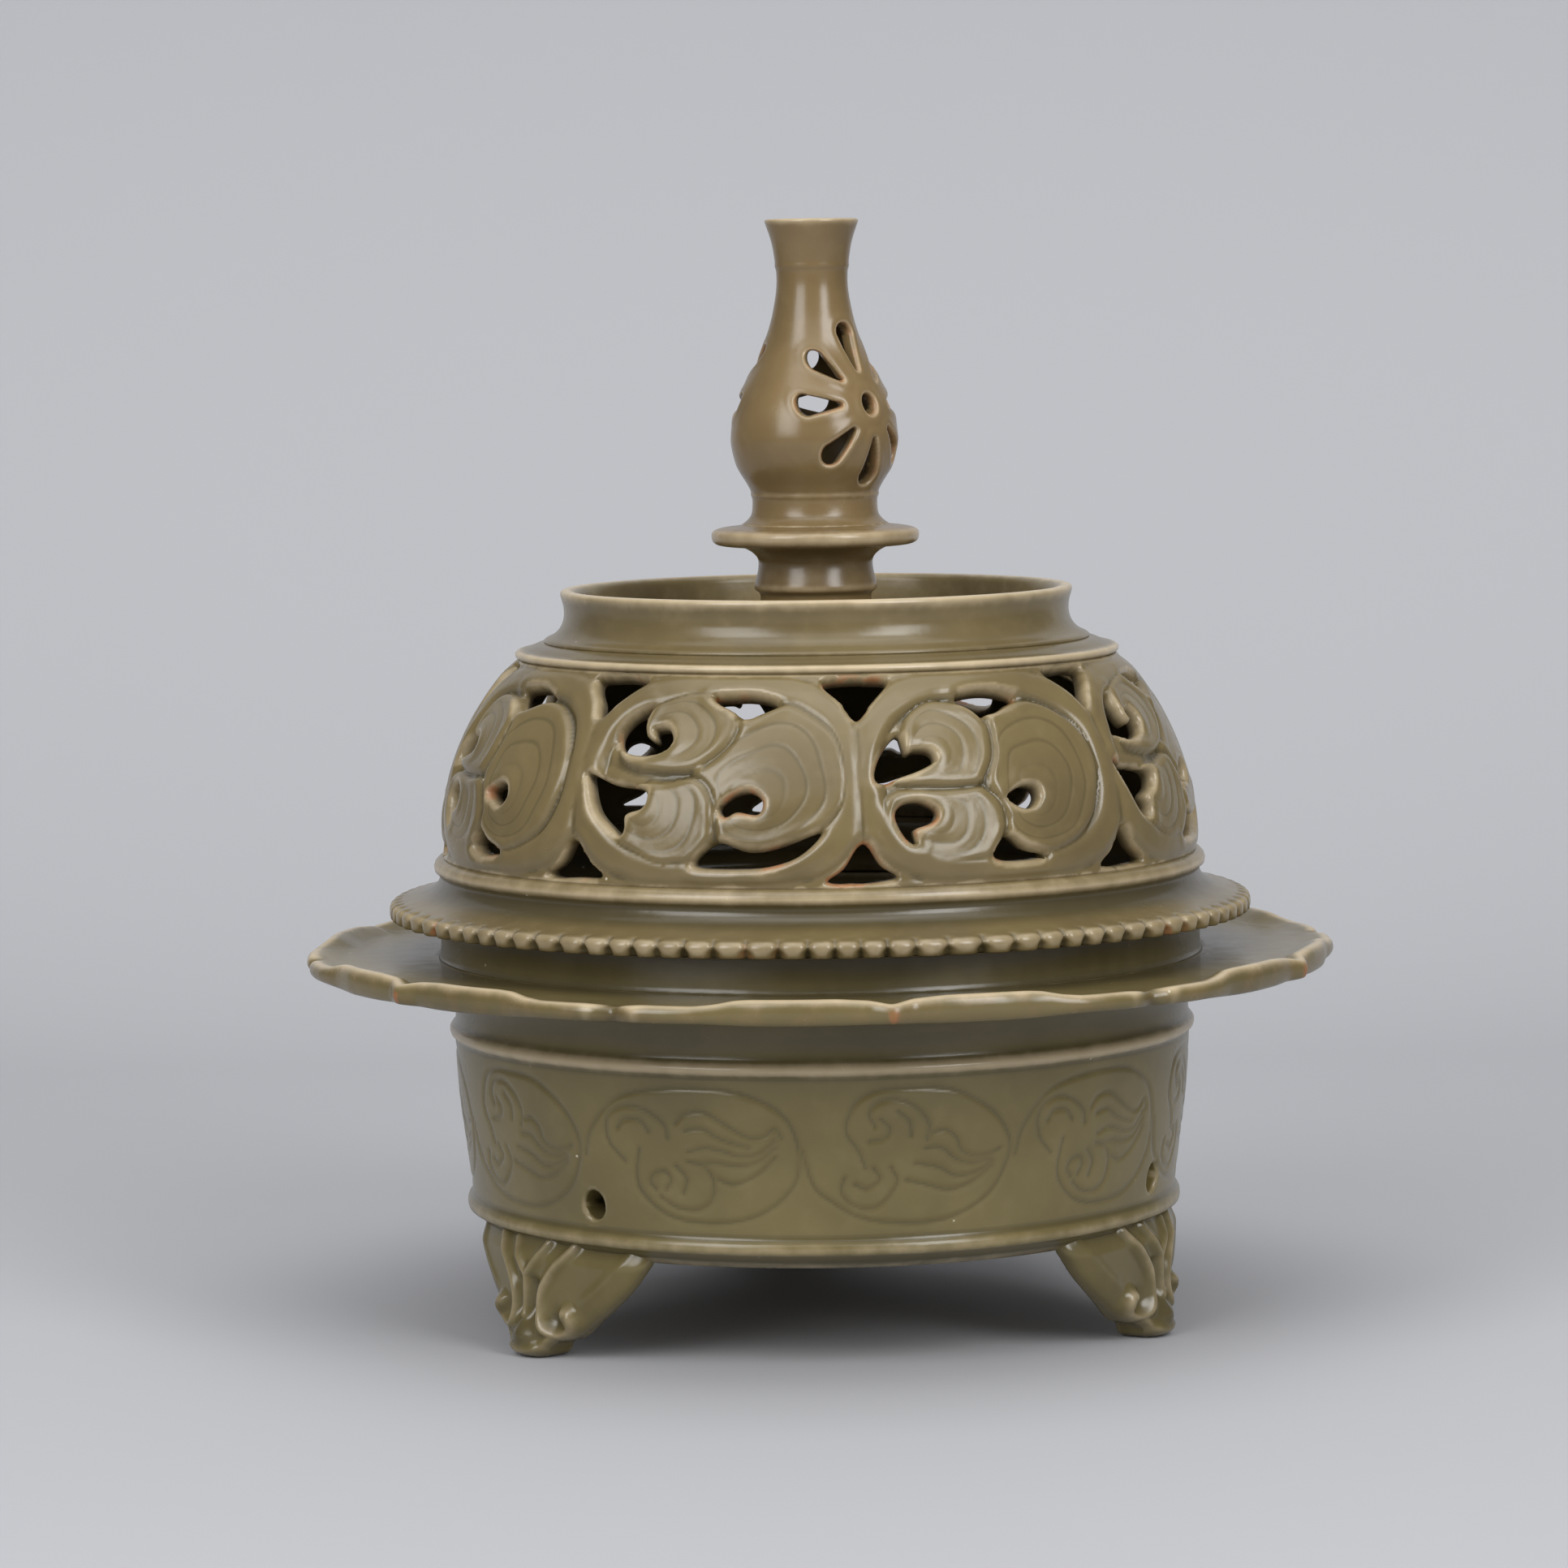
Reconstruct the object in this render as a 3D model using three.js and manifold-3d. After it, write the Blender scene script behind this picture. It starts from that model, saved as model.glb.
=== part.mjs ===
// A tripod incense burner in olive-glazed stoneware: a round bowl with a foliate flange on
// three moulded legs, an openwork domed cover with a crimped edge, and a pierced hollow finial.
// Millimetres, +Z up. The origin is on the burner's axis, on the surface that the feet stand on.
// Angles are in degrees, from the front (-Y) towards the right (+X).
import * as THREE from "three";
import { mergeVertices } from "three/addons/utils/BufferGeometryUtils.js";
import Module from "manifold-3d";

const wasm = await Module();
wasm.setup();

// Fineness of the round pieces
const ROUND_STEPS = 32;
const FINIAL_STEPS = 20;

// Clearances
const SLIP = 0.3; // between luted pieces where one goes round the other
const LID_CLEARANCE = 0.4; // between the cover's locating lip and the bowl's mouth
const CUT_MARGIN = 3; // how far a cutter runs past the wall that it pierces

// Bowl
const STAND_HEIGHT = 21.5; // flat underside above the surface
const BOWL_HEIGHT = 65.3; // underside to mouth rim
const BOWL_WALL = 5;
const BOWL_FLOOR = 6;
const MOUTH_RADIUS = 76.5; // inside the mouth rim
const MOUTH_WALL = 4;
const RIM_ROUNDING = 0.9;
const WALL_INSET = 2.5; // the wall's top lies inside the mouth rim's outside by this much
const WALL_TAPER = 3; // and its bottom lies this much further in
const FOOT_BEVEL = 4.5; // draw-in from the wall to the flat underside
const FOOT_BEVEL_HEIGHT = 2.2;
const RIDGE_OUT = 1.1;
const RIDGE_HEIGHT = 3.2;
const LOW_RIDGE_HEIGHT = 5.2; // lower ridge's middle above the underside
const FLANGE_DROP = 11.3; // foliate flange's underside below the mouth rim
const NECK_HEIGHT = 12.3; // upper ridge's middle below that underside
const LEDGE_WIDTH = 5; // shelf round the mouth that carries the foliate flange

// Air holes low in the bowl's wall
const AIR_HOLE_ANGLES = [-38, 65.5, 187];
const AIR_HOLE_WIDTH = 5.4;
const AIR_HOLE_HEIGHT = 6;
const AIR_HOLE_RISE = 12; // hole's middle above the underside

// Foliate flange: each petal runs from a pointed cusp to a pinched groove and back
const PETALS = 6;
const CUSP_ANGLE = 7.5;
const FLANGE_WIDTH = 27.5; // from the mouth rim to the mean outline
const FLANGE_THICKNESS = 3.2;
const FLANGE_EDGE = 5; // mean height of the turned-up edge
const EDGE_ROUNDING = 1.4;
const TURN_UP = 6.5; // width of the strip that turns up to the edge
// Half a petal: share of the half petal from its cusp, outline out or in, edge up or down
const HALF_PETAL = [
  [0, 0.6, -0.7],
  [0.08, -1.5, 0.2],
  [0.2, -1.2, 0.5],
  [0.37, -0.8, 0.6],
  [0.53, -1.1, 0.4],
  [0.65, 0.4, -0.5],
  [0.78, 1.1, -0.8],
  [0.93, 0.6, -1],
  [1, -1.4, -1.5],
];

// Legs: moulded masks that follow the bowl's foot, with a nose, two scrolls and two wings
const LEG_ANGLES = { leg_left: -53.6, leg_right: 66.4, leg_back: 186.4 };
const LEG_SPREAD = 25; // wing tips to either side of the leg's middle, in degrees
const LEG_FACE_IN = 0.8; // leg's face inside the bowl's wall foot
const NOSE_OUT = 2.4; // nose in front of the leg's face
const NOSE_SPREAD = 3.4; // in degrees
const LEG_THICKNESS = 9.5;
const WING_THICKNESS = 4;
const LEG_LAP = 2.6; // how far the leg's top stands up round the bowl's bevel
const TOE_HALF_WIDTH = 4.4;
const TOE_ROUNDING = 1.1;
const VOLUTE_HALF_WIDTH = 11.5;
const VOLUTE_BOTTOM = 3.4; // underside of the scrolls above the surface
const VOLUTE_HEIGHT = 4.6; // and its outer side from there up to the wing
const WING_CURVE = 3; // bulge of the wing's lower edge
const SCROLL_RELIEF = 1.5;
// One scroll, from the leg's middle and the surface: down its outside, round and back up
const SCROLL = [
  [9.4, 20.4], [4.8, 15], [2.7, 9], [3.6, 5], [7, 3], [10.6, 4.2], [11.8, 7.6], [9.6, 8.8],
  [8.9, 6.4], [7, 5.5], [5.4, 7], [5.2, 10], [7.2, 14.6], [11.2, 19.4],
];

// Cover: crimped flange, locating lip, dome, shoulder plate and collar
const CRIMPS = 96;
const CRIMP_OVERHANG = 10.7; // crimped edge beyond the mouth rim
const CRIMP_DEPTH = 2.2;
const CRIMP_TOP_WIDTH = 2.2;
const CRIMP_FOOT_WIDTH = 4.2;
const CRIMP_ROUNDING = 1;
const COVER_EDGE = 3.2; // thickness of the crimped edge
const COVER_BASE_HEIGHT = 12.8; // seat to the dome's foot
const COVER_CROWN = 0.9; // rise of the flange's top halfway in from its edge
const BEAD_OUT = 1.5;
const BEAD_HEIGHT = 3.4;
const NECK_OUT = 0.5; // hollow under the bead, outside the dome's foot
const NECK_WIDTH = 1.6;
const DOME_INSET = 0.3; // dome's foot inside the mouth rim's outside
const LIP_WALL = 3.6;
const LIP_DEPTH = 7;
const LIP_SEAT = 2.1; // width of the flange's underside that the lip is luted to
const DOME_RISE = 42;
const DOME_DRAW_IN = 16.8; // top radius less than the foot's by this much
const DOME_ROUNDNESS = 2.4;
const DOME_WALL = 4;
const SEAT_GAP = 0.2; // shoulder plate's edge inside the dome's top
const SHOULDER_THICKNESS = 3.2;
const SHOULDER_SLOPE = 5; // width of the shoulder's rounded edge
const SMOKE_HOLE_RADIUS = 7.5;
const COLLAR_INSET = 10.1; // collar's waist inside the dome's top
const COLLAR_HEIGHT = 10.8;
const COLLAR_WALL = 3.2;
const COLLAR_FOOT_OUT = 4.4;
const COLLAR_FLARE = 0.6; // rim's outside beyond the waist
const COLLAR_ROUNDING = 0.8;

// Medallions of the dome, drawn on a field of this size and fitted to the real field
const MEDALLIONS = 8;
const FIRST_MEDALLION = -16.2; // angle of a medallion's middle
const FIELD_WIDTH = 60;
const FIELD_HEIGHT = 46;

// Finial: stem, disc and pierced bottle
const STEM_RADIUS = 11.7;
const STEM_HEIGHT = 19.4;
const STEM_RING_RISE = 11; // ring's middle above the shoulder plate
const STEM_RING_OUT = 1.2;
const STEM_RING_HEIGHT = 3;
const STEM_FOOT_OUT = 1.2;
const STEM_FLARE = 3.4; // widening right under the disc
const FLARE_HEIGHT = 1.6;
const DISC_RADIUS = 21.9;
const DISC_THICKNESS = 4.6;
const BOTTLE_HEIGHT = 64.2;
const BOTTLE_RADIUS = 17.6;
const BOTTLE_WALL = 2.8;
const BOTTLE_WAIST = 13.3;
const BOTTLE_FOOT_OUT = 1.6;
const BELLY_RISE = 19.4; // widest height above the disc
const NECK_RADIUS = 7.3;
const NECK_RISE = 49; // narrowest height above the disc
const BOTTLE_MOUTH_RADIUS = 9.9;

// Pierced flowers of the bottle
const FLOWERS = 2;
const FIRST_FLOWER = 46.5;
const FLOWER_RISE = 25.4; // flower's middle above the disc
const FLOWER_PETALS = 8;
const FLOWER_EYE_RADIUS = 2.3;
const PETAL_START = 7; // petal's pointed tail from the flower's middle
const PETAL_LENGTH = 10.2;
const PETAL_WIDTH = 4.4;
const MOUTH_ROUNDING = 0.6;

// Heights and radii that follow
const rimZ = STAND_HEIGHT + BOWL_HEIGHT;
const flangeZ = rimZ - FLANGE_DROP;
const highRidgeZ = flangeZ - NECK_HEIGHT;
const lowRidgeZ = STAND_HEIGHT + LOW_RIDGE_HEIGHT;
const mouthOutside = MOUTH_RADIUS + MOUTH_WALL;
const wallTop = mouthOutside - WALL_INSET;
const wallBottom = wallTop - WALL_TAPER;
const footRadius = wallBottom - FOOT_BEVEL;
const ledgeRadius = mouthOutside + LEDGE_WIDTH;
const flangeRadius = mouthOutside + FLANGE_WIDTH;
const crimpRadius = mouthOutside + CRIMP_OVERHANG;
const domeFoot = mouthOutside - DOME_INSET;
const domeTop = domeFoot - DOME_DRAW_IN;
const domeFootZ = rimZ + COVER_BASE_HEIGHT;
const domeTopZ = domeFootZ + DOME_RISE;
const shoulderZ = domeTopZ + SHOULDER_THICKNESS;
const collarWaist = domeTop - COLLAR_INSET;
const discZ = shoulderZ + STEM_HEIGHT;
const bottleZ = discZ + DISC_THICKNESS;

// Glazes
const glaze = (color) => new THREE.MeshStandardMaterial({ color, roughness: 0.28, metalness: 0 });
const BOWL_GLAZE = glaze(0x73664a);
const FLANGE_GLAZE = glaze(0x7d7052);
const COVER_GLAZE = glaze(0x7a6e4e);
const FINIAL_GLAZE = glaze(0x71653f);

const burner = new THREE.Group();

function addPiece(name, geometry, material) {
  const mesh = new THREE.Mesh(geometry, material);
  mesh.name = name;
  burner.add(mesh);
}

// A point at a radius, an angle from the front and a height
function polar(radius, degrees, z) {
  const angle = THREE.MathUtils.degToRad(degrees);
  return new THREE.Vector3(radius * Math.sin(angle), -radius * Math.cos(angle), z);
}

// Geometry to solid and back
function toSolid(geometry) {
  const bare = geometry.clone();
  bare.deleteAttribute("normal");
  bare.deleteAttribute("uv");
  const merged = mergeVertices(bare, 1e-4);
  const index = merged.index.array;
  const kept = [];
  for (let i = 0; i < index.length; i += 3) {
    const [a, b, c] = [index[i], index[i + 1], index[i + 2]];
    if (a !== b && b !== c && c !== a) kept.push(a, b, c);
  }
  const vertProperties = new Float32Array(merged.attributes.position.array);
  return new wasm.Manifold(new wasm.Mesh({ numProp: 3, vertProperties, triVerts: new Uint32Array(kept) }));
}

function toGeometry(solid) {
  const mesh = solid.getMesh();
  const geometry = new THREE.BufferGeometry();
  geometry.setAttribute("position", new THREE.BufferAttribute(mesh.vertProperties, 3));
  geometry.setIndex(new THREE.BufferAttribute(mesh.triVerts, 1));
  geometry.computeVertexNormals();
  return geometry;
}

// A closed profile of [radius, height] points turned about the axis
function revolve(profile, steps) {
  const points = profile.map(([radius, z]) => new THREE.Vector2(radius, z));
  if (points[0].x > 0) points.push(points[0].clone());
  const geometry = new THREE.LatheGeometry(points, steps);
  geometry.rotateX(Math.PI / 2);
  return geometry;
}

// Points along a smooth curve through [radius, height] points
function smooth(points, count) {
  const curve = new THREE.SplineCurve(points.map(([radius, z]) => new THREE.Vector2(radius, z)));
  return curve.getPoints(count).map((point) => [point.x, point.y]);
}

// A raised ridge on an upright wall, from below: four points
function ridge(radius, z, out, height) {
  return [
    [radius, z - height / 2],
    [radius + out, z - height / 4],
    [radius + out, z + height / 4],
    [radius, z + height / 2],
  ];
}

// An outline of [x, y] points made thick and laid on a surface by place(x, y, depth)
function wrappedCutter(outline, depth, place) {
  const shape = new THREE.Shape(outline.map(([x, y]) => new THREE.Vector2(x, y)));
  const geometry = new THREE.ExtrudeGeometry(shape, { depth, bevelEnabled: false });
  const position = geometry.attributes.position;
  for (let i = 0; i < position.count; i += 1) {
    const point = place(position.getX(i), position.getY(i), position.getZ(i));
    position.setXYZ(i, point.x, point.y, point.z);
  }
  return toSolid(geometry);
}

function ellipseOutline(width, height, count) {
  const curve = new THREE.EllipseCurve(0, 0, width / 2, height / 2);
  return curve.getPoints(count).slice(0, count).map((point) => [point.x, point.y]);
}

// Bowl: floor, wall with two ridges, neck, shelf for the flange and mouth rim
function bowlProfile() {
  const wallStart = lowRidgeZ + RIDGE_HEIGHT / 2;
  const wallEnd = highRidgeZ - RIDGE_HEIGHT / 2;
  const wallMiddle = [wallTop - WALL_TAPER / 4, (wallStart + wallEnd) / 2];
  return [
    [0, STAND_HEIGHT],
    [footRadius, STAND_HEIGHT],
    [wallBottom - FOOT_BEVEL / 3, STAND_HEIGHT + FOOT_BEVEL_HEIGHT],
    ...ridge(wallBottom, lowRidgeZ, RIDGE_OUT, RIDGE_HEIGHT),
    wallMiddle,
    ...ridge(wallTop, highRidgeZ, RIDGE_OUT, RIDGE_HEIGHT),
    [wallTop, flangeZ - NECK_HEIGHT / 3],
    [ledgeRadius, flangeZ],
    [mouthOutside, flangeZ],
    [mouthOutside, rimZ - RIM_ROUNDING],
    [mouthOutside - RIM_ROUNDING, rimZ],
    [MOUTH_RADIUS + RIM_ROUNDING, rimZ],
    [MOUTH_RADIUS, rimZ - RIM_ROUNDING],
    [MOUTH_RADIUS, flangeZ + RIM_ROUNDING],
    [wallTop - BOWL_WALL, highRidgeZ],
    [wallBottom - BOWL_WALL, STAND_HEIGHT + 2 * BOWL_FLOOR],
    [footRadius - BOWL_WALL, STAND_HEIGHT + BOWL_FLOOR],
    [0, STAND_HEIGHT + BOWL_FLOOR],
  ];
}

function bowl() {
  let body = toSolid(revolve(bowlProfile(), ROUND_STEPS));
  const outline = ellipseOutline(AIR_HOLE_WIDTH, AIR_HOLE_HEIGHT, 8);
  const z = STAND_HEIGHT + AIR_HOLE_RISE;
  const inside = wallBottom - BOWL_WALL - CUT_MARGIN;
  const depth = BOWL_WALL + WALL_TAPER + 2 * CUT_MARGIN;
  for (const angle of AIR_HOLE_ANGLES) {
    const place = (x, y, r) => polar(inside + r, angle + THREE.MathUtils.radToDeg(x / wallBottom), z + y);
    body = body.subtract(wrappedCutter(outline, depth, place));
  }
  return toGeometry(body);
}

// Foliate flange: a cross-section swept round the outline of the petals
function flangeSection(out, up) {
  const radius = flangeRadius + out;
  const top = flangeZ + FLANGE_EDGE + up;
  const inner = mouthOutside + SLIP;
  return [
    [inner, flangeZ],
    [radius - EDGE_ROUNDING, flangeZ],
    [radius, flangeZ + EDGE_ROUNDING],
    [radius, top - EDGE_ROUNDING],
    [radius - EDGE_ROUNDING, top],
    [radius - TURN_UP, flangeZ + FLANGE_THICKNESS],
    [inner, flangeZ + FLANGE_THICKNESS],
  ];
}

function petalStations() {
  const half = 180 / PETALS;
  const back = HALF_PETAL.slice(1, -1).reverse();
  const stations = [];
  for (let petal = 0; petal < PETALS; petal += 1) {
    const cusp = CUSP_ANGLE + petal * 2 * half;
    for (const [share, out, up] of HALF_PETAL) stations.push([cusp + share * half, out, up]);
    for (const [share, out, up] of back) stations.push([cusp + (2 - share) * half, out, up]);
  }
  return stations;
}

// Rings of points, all of one length, joined into a closed band
function sweepRings(rings) {
  const size = rings[0].length;
  const positions = rings.flat().flatMap((point) => [point.x, point.y, point.z]);
  const index = [];
  for (let i = 0; i < rings.length; i += 1) {
    const next = (i + 1) % rings.length;
    for (let j = 0; j < size; j += 1) {
      const k = (j + 1) % size;
      const [a, b, c, d] = [i * size + j, next * size + j, next * size + k, i * size + k];
      index.push(a, b, c, a, c, d);
    }
  }
  const geometry = new THREE.BufferGeometry();
  geometry.setAttribute("position", new THREE.Float32BufferAttribute(positions, 3));
  geometry.setIndex(index);
  return geometry;
}

function bowlFlange() {
  const rings = petalStations().map(([angle, out, up]) =>
    flangeSection(out, up).map(([radius, z]) => polar(radius, angle, z)),
  );
  return sweepRings(rings);
}

// Leg: its front outline, extruded, kept only where its plan outline stands
function legFront(top) {
  const tip = (wallBottom - LEG_FACE_IN) * Math.sin(THREE.MathUtils.degToRad(LEG_SPREAD));
  const half = [
    [TOE_HALF_WIDTH - TOE_ROUNDING, 0],
    [TOE_HALF_WIDTH, TOE_ROUNDING * 2],
    [TOE_HALF_WIDTH, VOLUTE_BOTTOM + TOE_ROUNDING],
    [TOE_HALF_WIDTH + TOE_ROUNDING * 2, VOLUTE_BOTTOM],
    [VOLUTE_HALF_WIDTH - TOE_ROUNDING * 2, VOLUTE_BOTTOM],
    [VOLUTE_HALF_WIDTH, VOLUTE_BOTTOM + VOLUTE_HEIGHT],
    [VOLUTE_HALF_WIDTH + WING_CURVE, VOLUTE_BOTTOM + VOLUTE_HEIGHT * 1.4],
    [(VOLUTE_HALF_WIDTH + tip) / 2 + WING_CURVE, STAND_HEIGHT * 0.74],
    [tip, STAND_HEIGHT],
    [tip, top],
  ];
  const mirrored = half.map(([x, z]) => [-x, z]).reverse();
  return [...half, ...mirrored];
}

function legPlan() {
  const face = wallBottom - LEG_FACE_IN;
  const back = face - LEG_THICKNESS;
  const wingBack = face - WING_THICKNESS;
  const half = [
    [0, face + NOSE_OUT],
    [NOSE_SPREAD / 2, face + NOSE_OUT * 0.8],
    [NOSE_SPREAD, face],
    [LEG_SPREAD * 0.4, face],
    [LEG_SPREAD * 0.7, face],
    [LEG_SPREAD, face - WING_THICKNESS * 0.15],
    [LEG_SPREAD, wingBack],
    [LEG_SPREAD * 0.5, back],
    [0, back],
  ];
  const corner = (turn, radius) => {
    const angle = THREE.MathUtils.degToRad(turn);
    return [radius * Math.sin(angle), radius * Math.cos(angle)];
  };
  const right = half.map(([turn, radius]) => corner(turn, radius));
  const left = half.slice(1, -1).map(([turn, radius]) => corner(-turn, radius)).reverse();
  return [...right, ...left];
}

function extrude(outline, depth) {
  const shape = new THREE.Shape(outline.map(([x, y]) => new THREE.Vector2(x, y)));
  return new THREE.ExtrudeGeometry(shape, { depth, bevelEnabled: false });
}

// The bowl's underside and bevel, a slip larger, that the legs are cut to
function bowlFootCutter() {
  const profile = [
    [0, STAND_HEIGHT],
    [footRadius + SLIP, STAND_HEIGHT],
    [wallBottom - FOOT_BEVEL / 3 + SLIP, STAND_HEIGHT + FOOT_BEVEL_HEIGHT - SLIP],
    [wallBottom + RIDGE_OUT + SLIP, lowRidgeZ - RIDGE_HEIGHT / 4 - SLIP],
    [wallBottom + RIDGE_OUT + SLIP, rimZ],
    [0, rimZ],
  ];
  return toSolid(revolve(profile, ROUND_STEPS));
}

// An outline of [x, z] points that stands across +Y, extruded from one distance to another
function standing(outline, near, far) {
  const geometry = extrude(outline.map(([x, z]) => [-x, z]), far - near);
  geometry.rotateX(Math.PI / 2);
  geometry.rotateZ(Math.PI);
  geometry.translate(0, near, 0);
  return toSolid(geometry);
}

function leg(angle) {
  const face = wallBottom - LEG_FACE_IN;
  const top = STAND_HEIGHT + LEG_LAP;
  const plan = extrude(legPlan(), top + 2);
  plan.translate(0, 0, -1);
  const near = (face - LEG_THICKNESS) * Math.cos(THREE.MathUtils.degToRad(LEG_SPREAD)) - 1;
  let block = standing(legFront(top), near, face + NOSE_OUT + 1).intersect(toSolid(plan));
  for (const side of [1, -1]) {
    const scroll = SCROLL.map(([x, z]) => [side * x, z]);
    block = block.add(standing(scroll, face - LEG_THICKNESS / 2, face + SCROLL_RELIEF));
  }
  const geometry = toGeometry(block);
  geometry.rotateZ(Math.PI + THREE.MathUtils.degToRad(angle));
  return toGeometry(toSolid(geometry).subtract(bowlFootCutter()));
}

// Cover's flange: flat seat, crimped edge, hollow above it and the bead at the dome's foot
function coverFlangeProfile() {
  const inside = domeFoot - DOME_WALL;
  const lipOutside = MOUTH_RADIUS - LID_CLEARANCE;
  const neckZ = domeFootZ - BEAD_HEIGHT - NECK_WIDTH;
  return [
    [lipOutside - LIP_SEAT, rimZ],
    [crimpRadius, rimZ],
    [crimpRadius, rimZ + COVER_EDGE - CRIMP_ROUNDING],
    [crimpRadius - CRIMP_ROUNDING, rimZ + COVER_EDGE],
    [(crimpRadius + domeFoot) / 2, rimZ + COVER_EDGE + COVER_CROWN],
    [domeFoot + NECK_OUT, neckZ],
    [domeFoot + NECK_OUT, domeFootZ - BEAD_HEIGHT],
    [domeFoot + BEAD_OUT, domeFootZ - BEAD_HEIGHT * 0.7],
    [domeFoot + BEAD_OUT, domeFootZ - BEAD_HEIGHT * 0.3],
    [domeFoot, domeFootZ],
    [inside, domeFootZ],
    [inside, rimZ + 2 * COVER_EDGE],
    [lipOutside - LIP_SEAT, rimZ + COVER_EDGE],
  ];
}

function coverFlange() {
  let ring = toSolid(revolve(coverFlangeProfile(), CRIMPS / 3));
  const height = COVER_EDGE + 2 * CUT_MARGIN;
  for (let i = 0; i < CRIMPS; i += 1) {
    const notch = new THREE.CylinderGeometry(CRIMP_TOP_WIDTH / 2, CRIMP_FOOT_WIDTH / 2, height, 4);
    notch.rotateX(Math.PI / 2);
    notch.scale(1, (2 * CRIMP_DEPTH) / CRIMP_FOOT_WIDTH, 1);
    notch.translate(0, -crimpRadius, rimZ + COVER_EDGE / 2);
    notch.rotateZ(THREE.MathUtils.degToRad((360 * (i + 0.5)) / CRIMPS));
    ring = ring.subtract(toSolid(notch));
  }
  return toGeometry(ring);
}

function coverLip() {
  const outside = MOUTH_RADIUS - LID_CLEARANCE;
  const inside = outside - LIP_WALL;
  const profile = [
    [inside, rimZ - LIP_DEPTH],
    [outside - 0.8, rimZ - LIP_DEPTH],
    [outside, rimZ - LIP_DEPTH + 0.8],
    [outside, rimZ],
    [inside, rimZ],
  ];
  return revolve(profile, ROUND_STEPS);
}

// Dome: a point of its outside at a share of its rise, and the outward normal there
function domeRadius(share) {
  return domeFoot - DOME_DRAW_IN * Math.pow(share, DOME_ROUNDNESS);
}

function domePoint(share, depth) {
  const slope = (DOME_DRAW_IN * DOME_ROUNDNESS * Math.pow(share, DOME_ROUNDNESS - 1)) / DOME_RISE;
  const length = Math.hypot(1, slope);
  return [domeRadius(share) - depth / length, domeFootZ + share * DOME_RISE - (depth * slope) / length];
}

const DOME_SHARES = [0, 0.32, 0.6, 0.83, 1];

function domeProfile() {
  const outside = DOME_SHARES.map((share) => domePoint(share, 0));
  const within = DOME_SHARES.slice(1).filter((share, i) => i % 2 === 1).reverse();
  const inside = within.map((share) => domePoint(share, DOME_WALL));
  inside[0][1] = domeTopZ - DOME_WALL * 0.8;
  const topInside = domeTop - DOME_WALL;
  return [...outside, [topInside, domeTopZ], ...inside, [domeFoot - DOME_WALL, domeFootZ]];
}

// Height up the curve of the dome, from its foot, for each share of its rise
function domeArcShare(arc) {
  let walked = 0;
  let share = 0;
  const step = 0.01;
  while (share < 1 && walked < arc) {
    const [r0, z0] = domePoint(share, 0);
    const [r1, z1] = domePoint(Math.min(share + step, 1), 0);
    walked += Math.hypot(r1 - r0, z1 - z0);
    share += step;
  }
  return Math.min(share, 1);
}

function domeArcLength() {
  let length = 0;
  for (let share = 0; share < 0.995; share += 0.01) {
    const [r0, z0] = domePoint(share, 0);
    const [r1, z1] = domePoint(share + 0.01, 0);
    length += Math.hypot(r1 - r0, z1 - z0);
  }
  return length;
}

// Holes of the medallions, from the middle of the drawn field. A leaf of three curled lobes
// fills a round stem: a hole lies behind each curl, and a crescent above and below the leaf.
const UPPER_CURL_HOLE = [
  [-17.5, 14.6], [-21.6, 12.2], [-23.6, 8.5], [-22, 5], [-18, 3.4], [-12, 4.8],
  [-10.1, 7.5], [-12, 10], [-14.9, 9.4], [-14.1, 7], [-16.6, 7.8], [-17.6, 11.5],
];
const LOWER_CURL_HOLE = [
  [-28.2, -0.4], [-23.1, -2.2], [-16.1, -3.1], [-13.8, -4.6], [-14.9, -7.2],
  [-18.7, -8.8], [-18.5, -11.8], [-20, -12.8], [-25.1, -8.2], [-27.9, -2.5],
];
const RIGHT_CURL_EYE = [
  [1.6, -6.7], [4.6, -4.2], [8.4, -3.4], [10.7, -5.3], [9.6, -8], [5.5, -7.6], [3.2, -8.6],
];
const TOP_CRESCENT = [
  [-3.7, 18.9], [4.3, 19], [9.6, 18.3], [14.9, 17.1], [9.2, 14.2], [6.1, 12.8], [3.7, 14],
];
const BOTTOM_CRESCENT = [
  [-3.1, -18.4], [3, -19.2], [11.6, -18.6], [17.5, -16.5], [21.9, -11.7], [14.3, -14.7],
  [8, -15.6], [1.9, -14],
];
// The second medallion is cut to the same drawing with a freer hand
const SECOND_UPPER_HOLE = [
  [-21.1, 8.8], [-20, 4.6], [-18.1, 5.1], [-14.9, 4.6], [-14.3, 2.1], [-19.7, 0],
  [-25.9, -1.7], [-26.9, 0.5], [-24.3, 5.7],
];
const SECOND_LOWER_HOLE = [
  [-23.3, -9.2], [-21.8, -6.8], [-18, -6.2], [-14.9, -8], [-15.7, -10.3], [-19.5, -11.7],
  [-19.5, -14.6], [-21.7, -13.2],
];
const SECOND_EYE = [[0.5, -5.8], [4, -3.9], [7.2, -4.4], [8.1, -6.4], [6.3, -8.3], [3.5, -8.2]];
const SECOND_TOP_CRESCENT = [
  [-8.4, 18.2], [-2, 19.1], [6.9, 18.4], [16.3, 16], [9.6, 14.9], [2.9, 12.2], [-0.2, 12],
  [-3.3, 14.2],
];
const SECOND_BOTTOM_HOLE = [[-3.2, -18], [-0.3, -14.3], [3.6, -16.8], [8, -18.4], [1.6, -19.2]];
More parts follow.
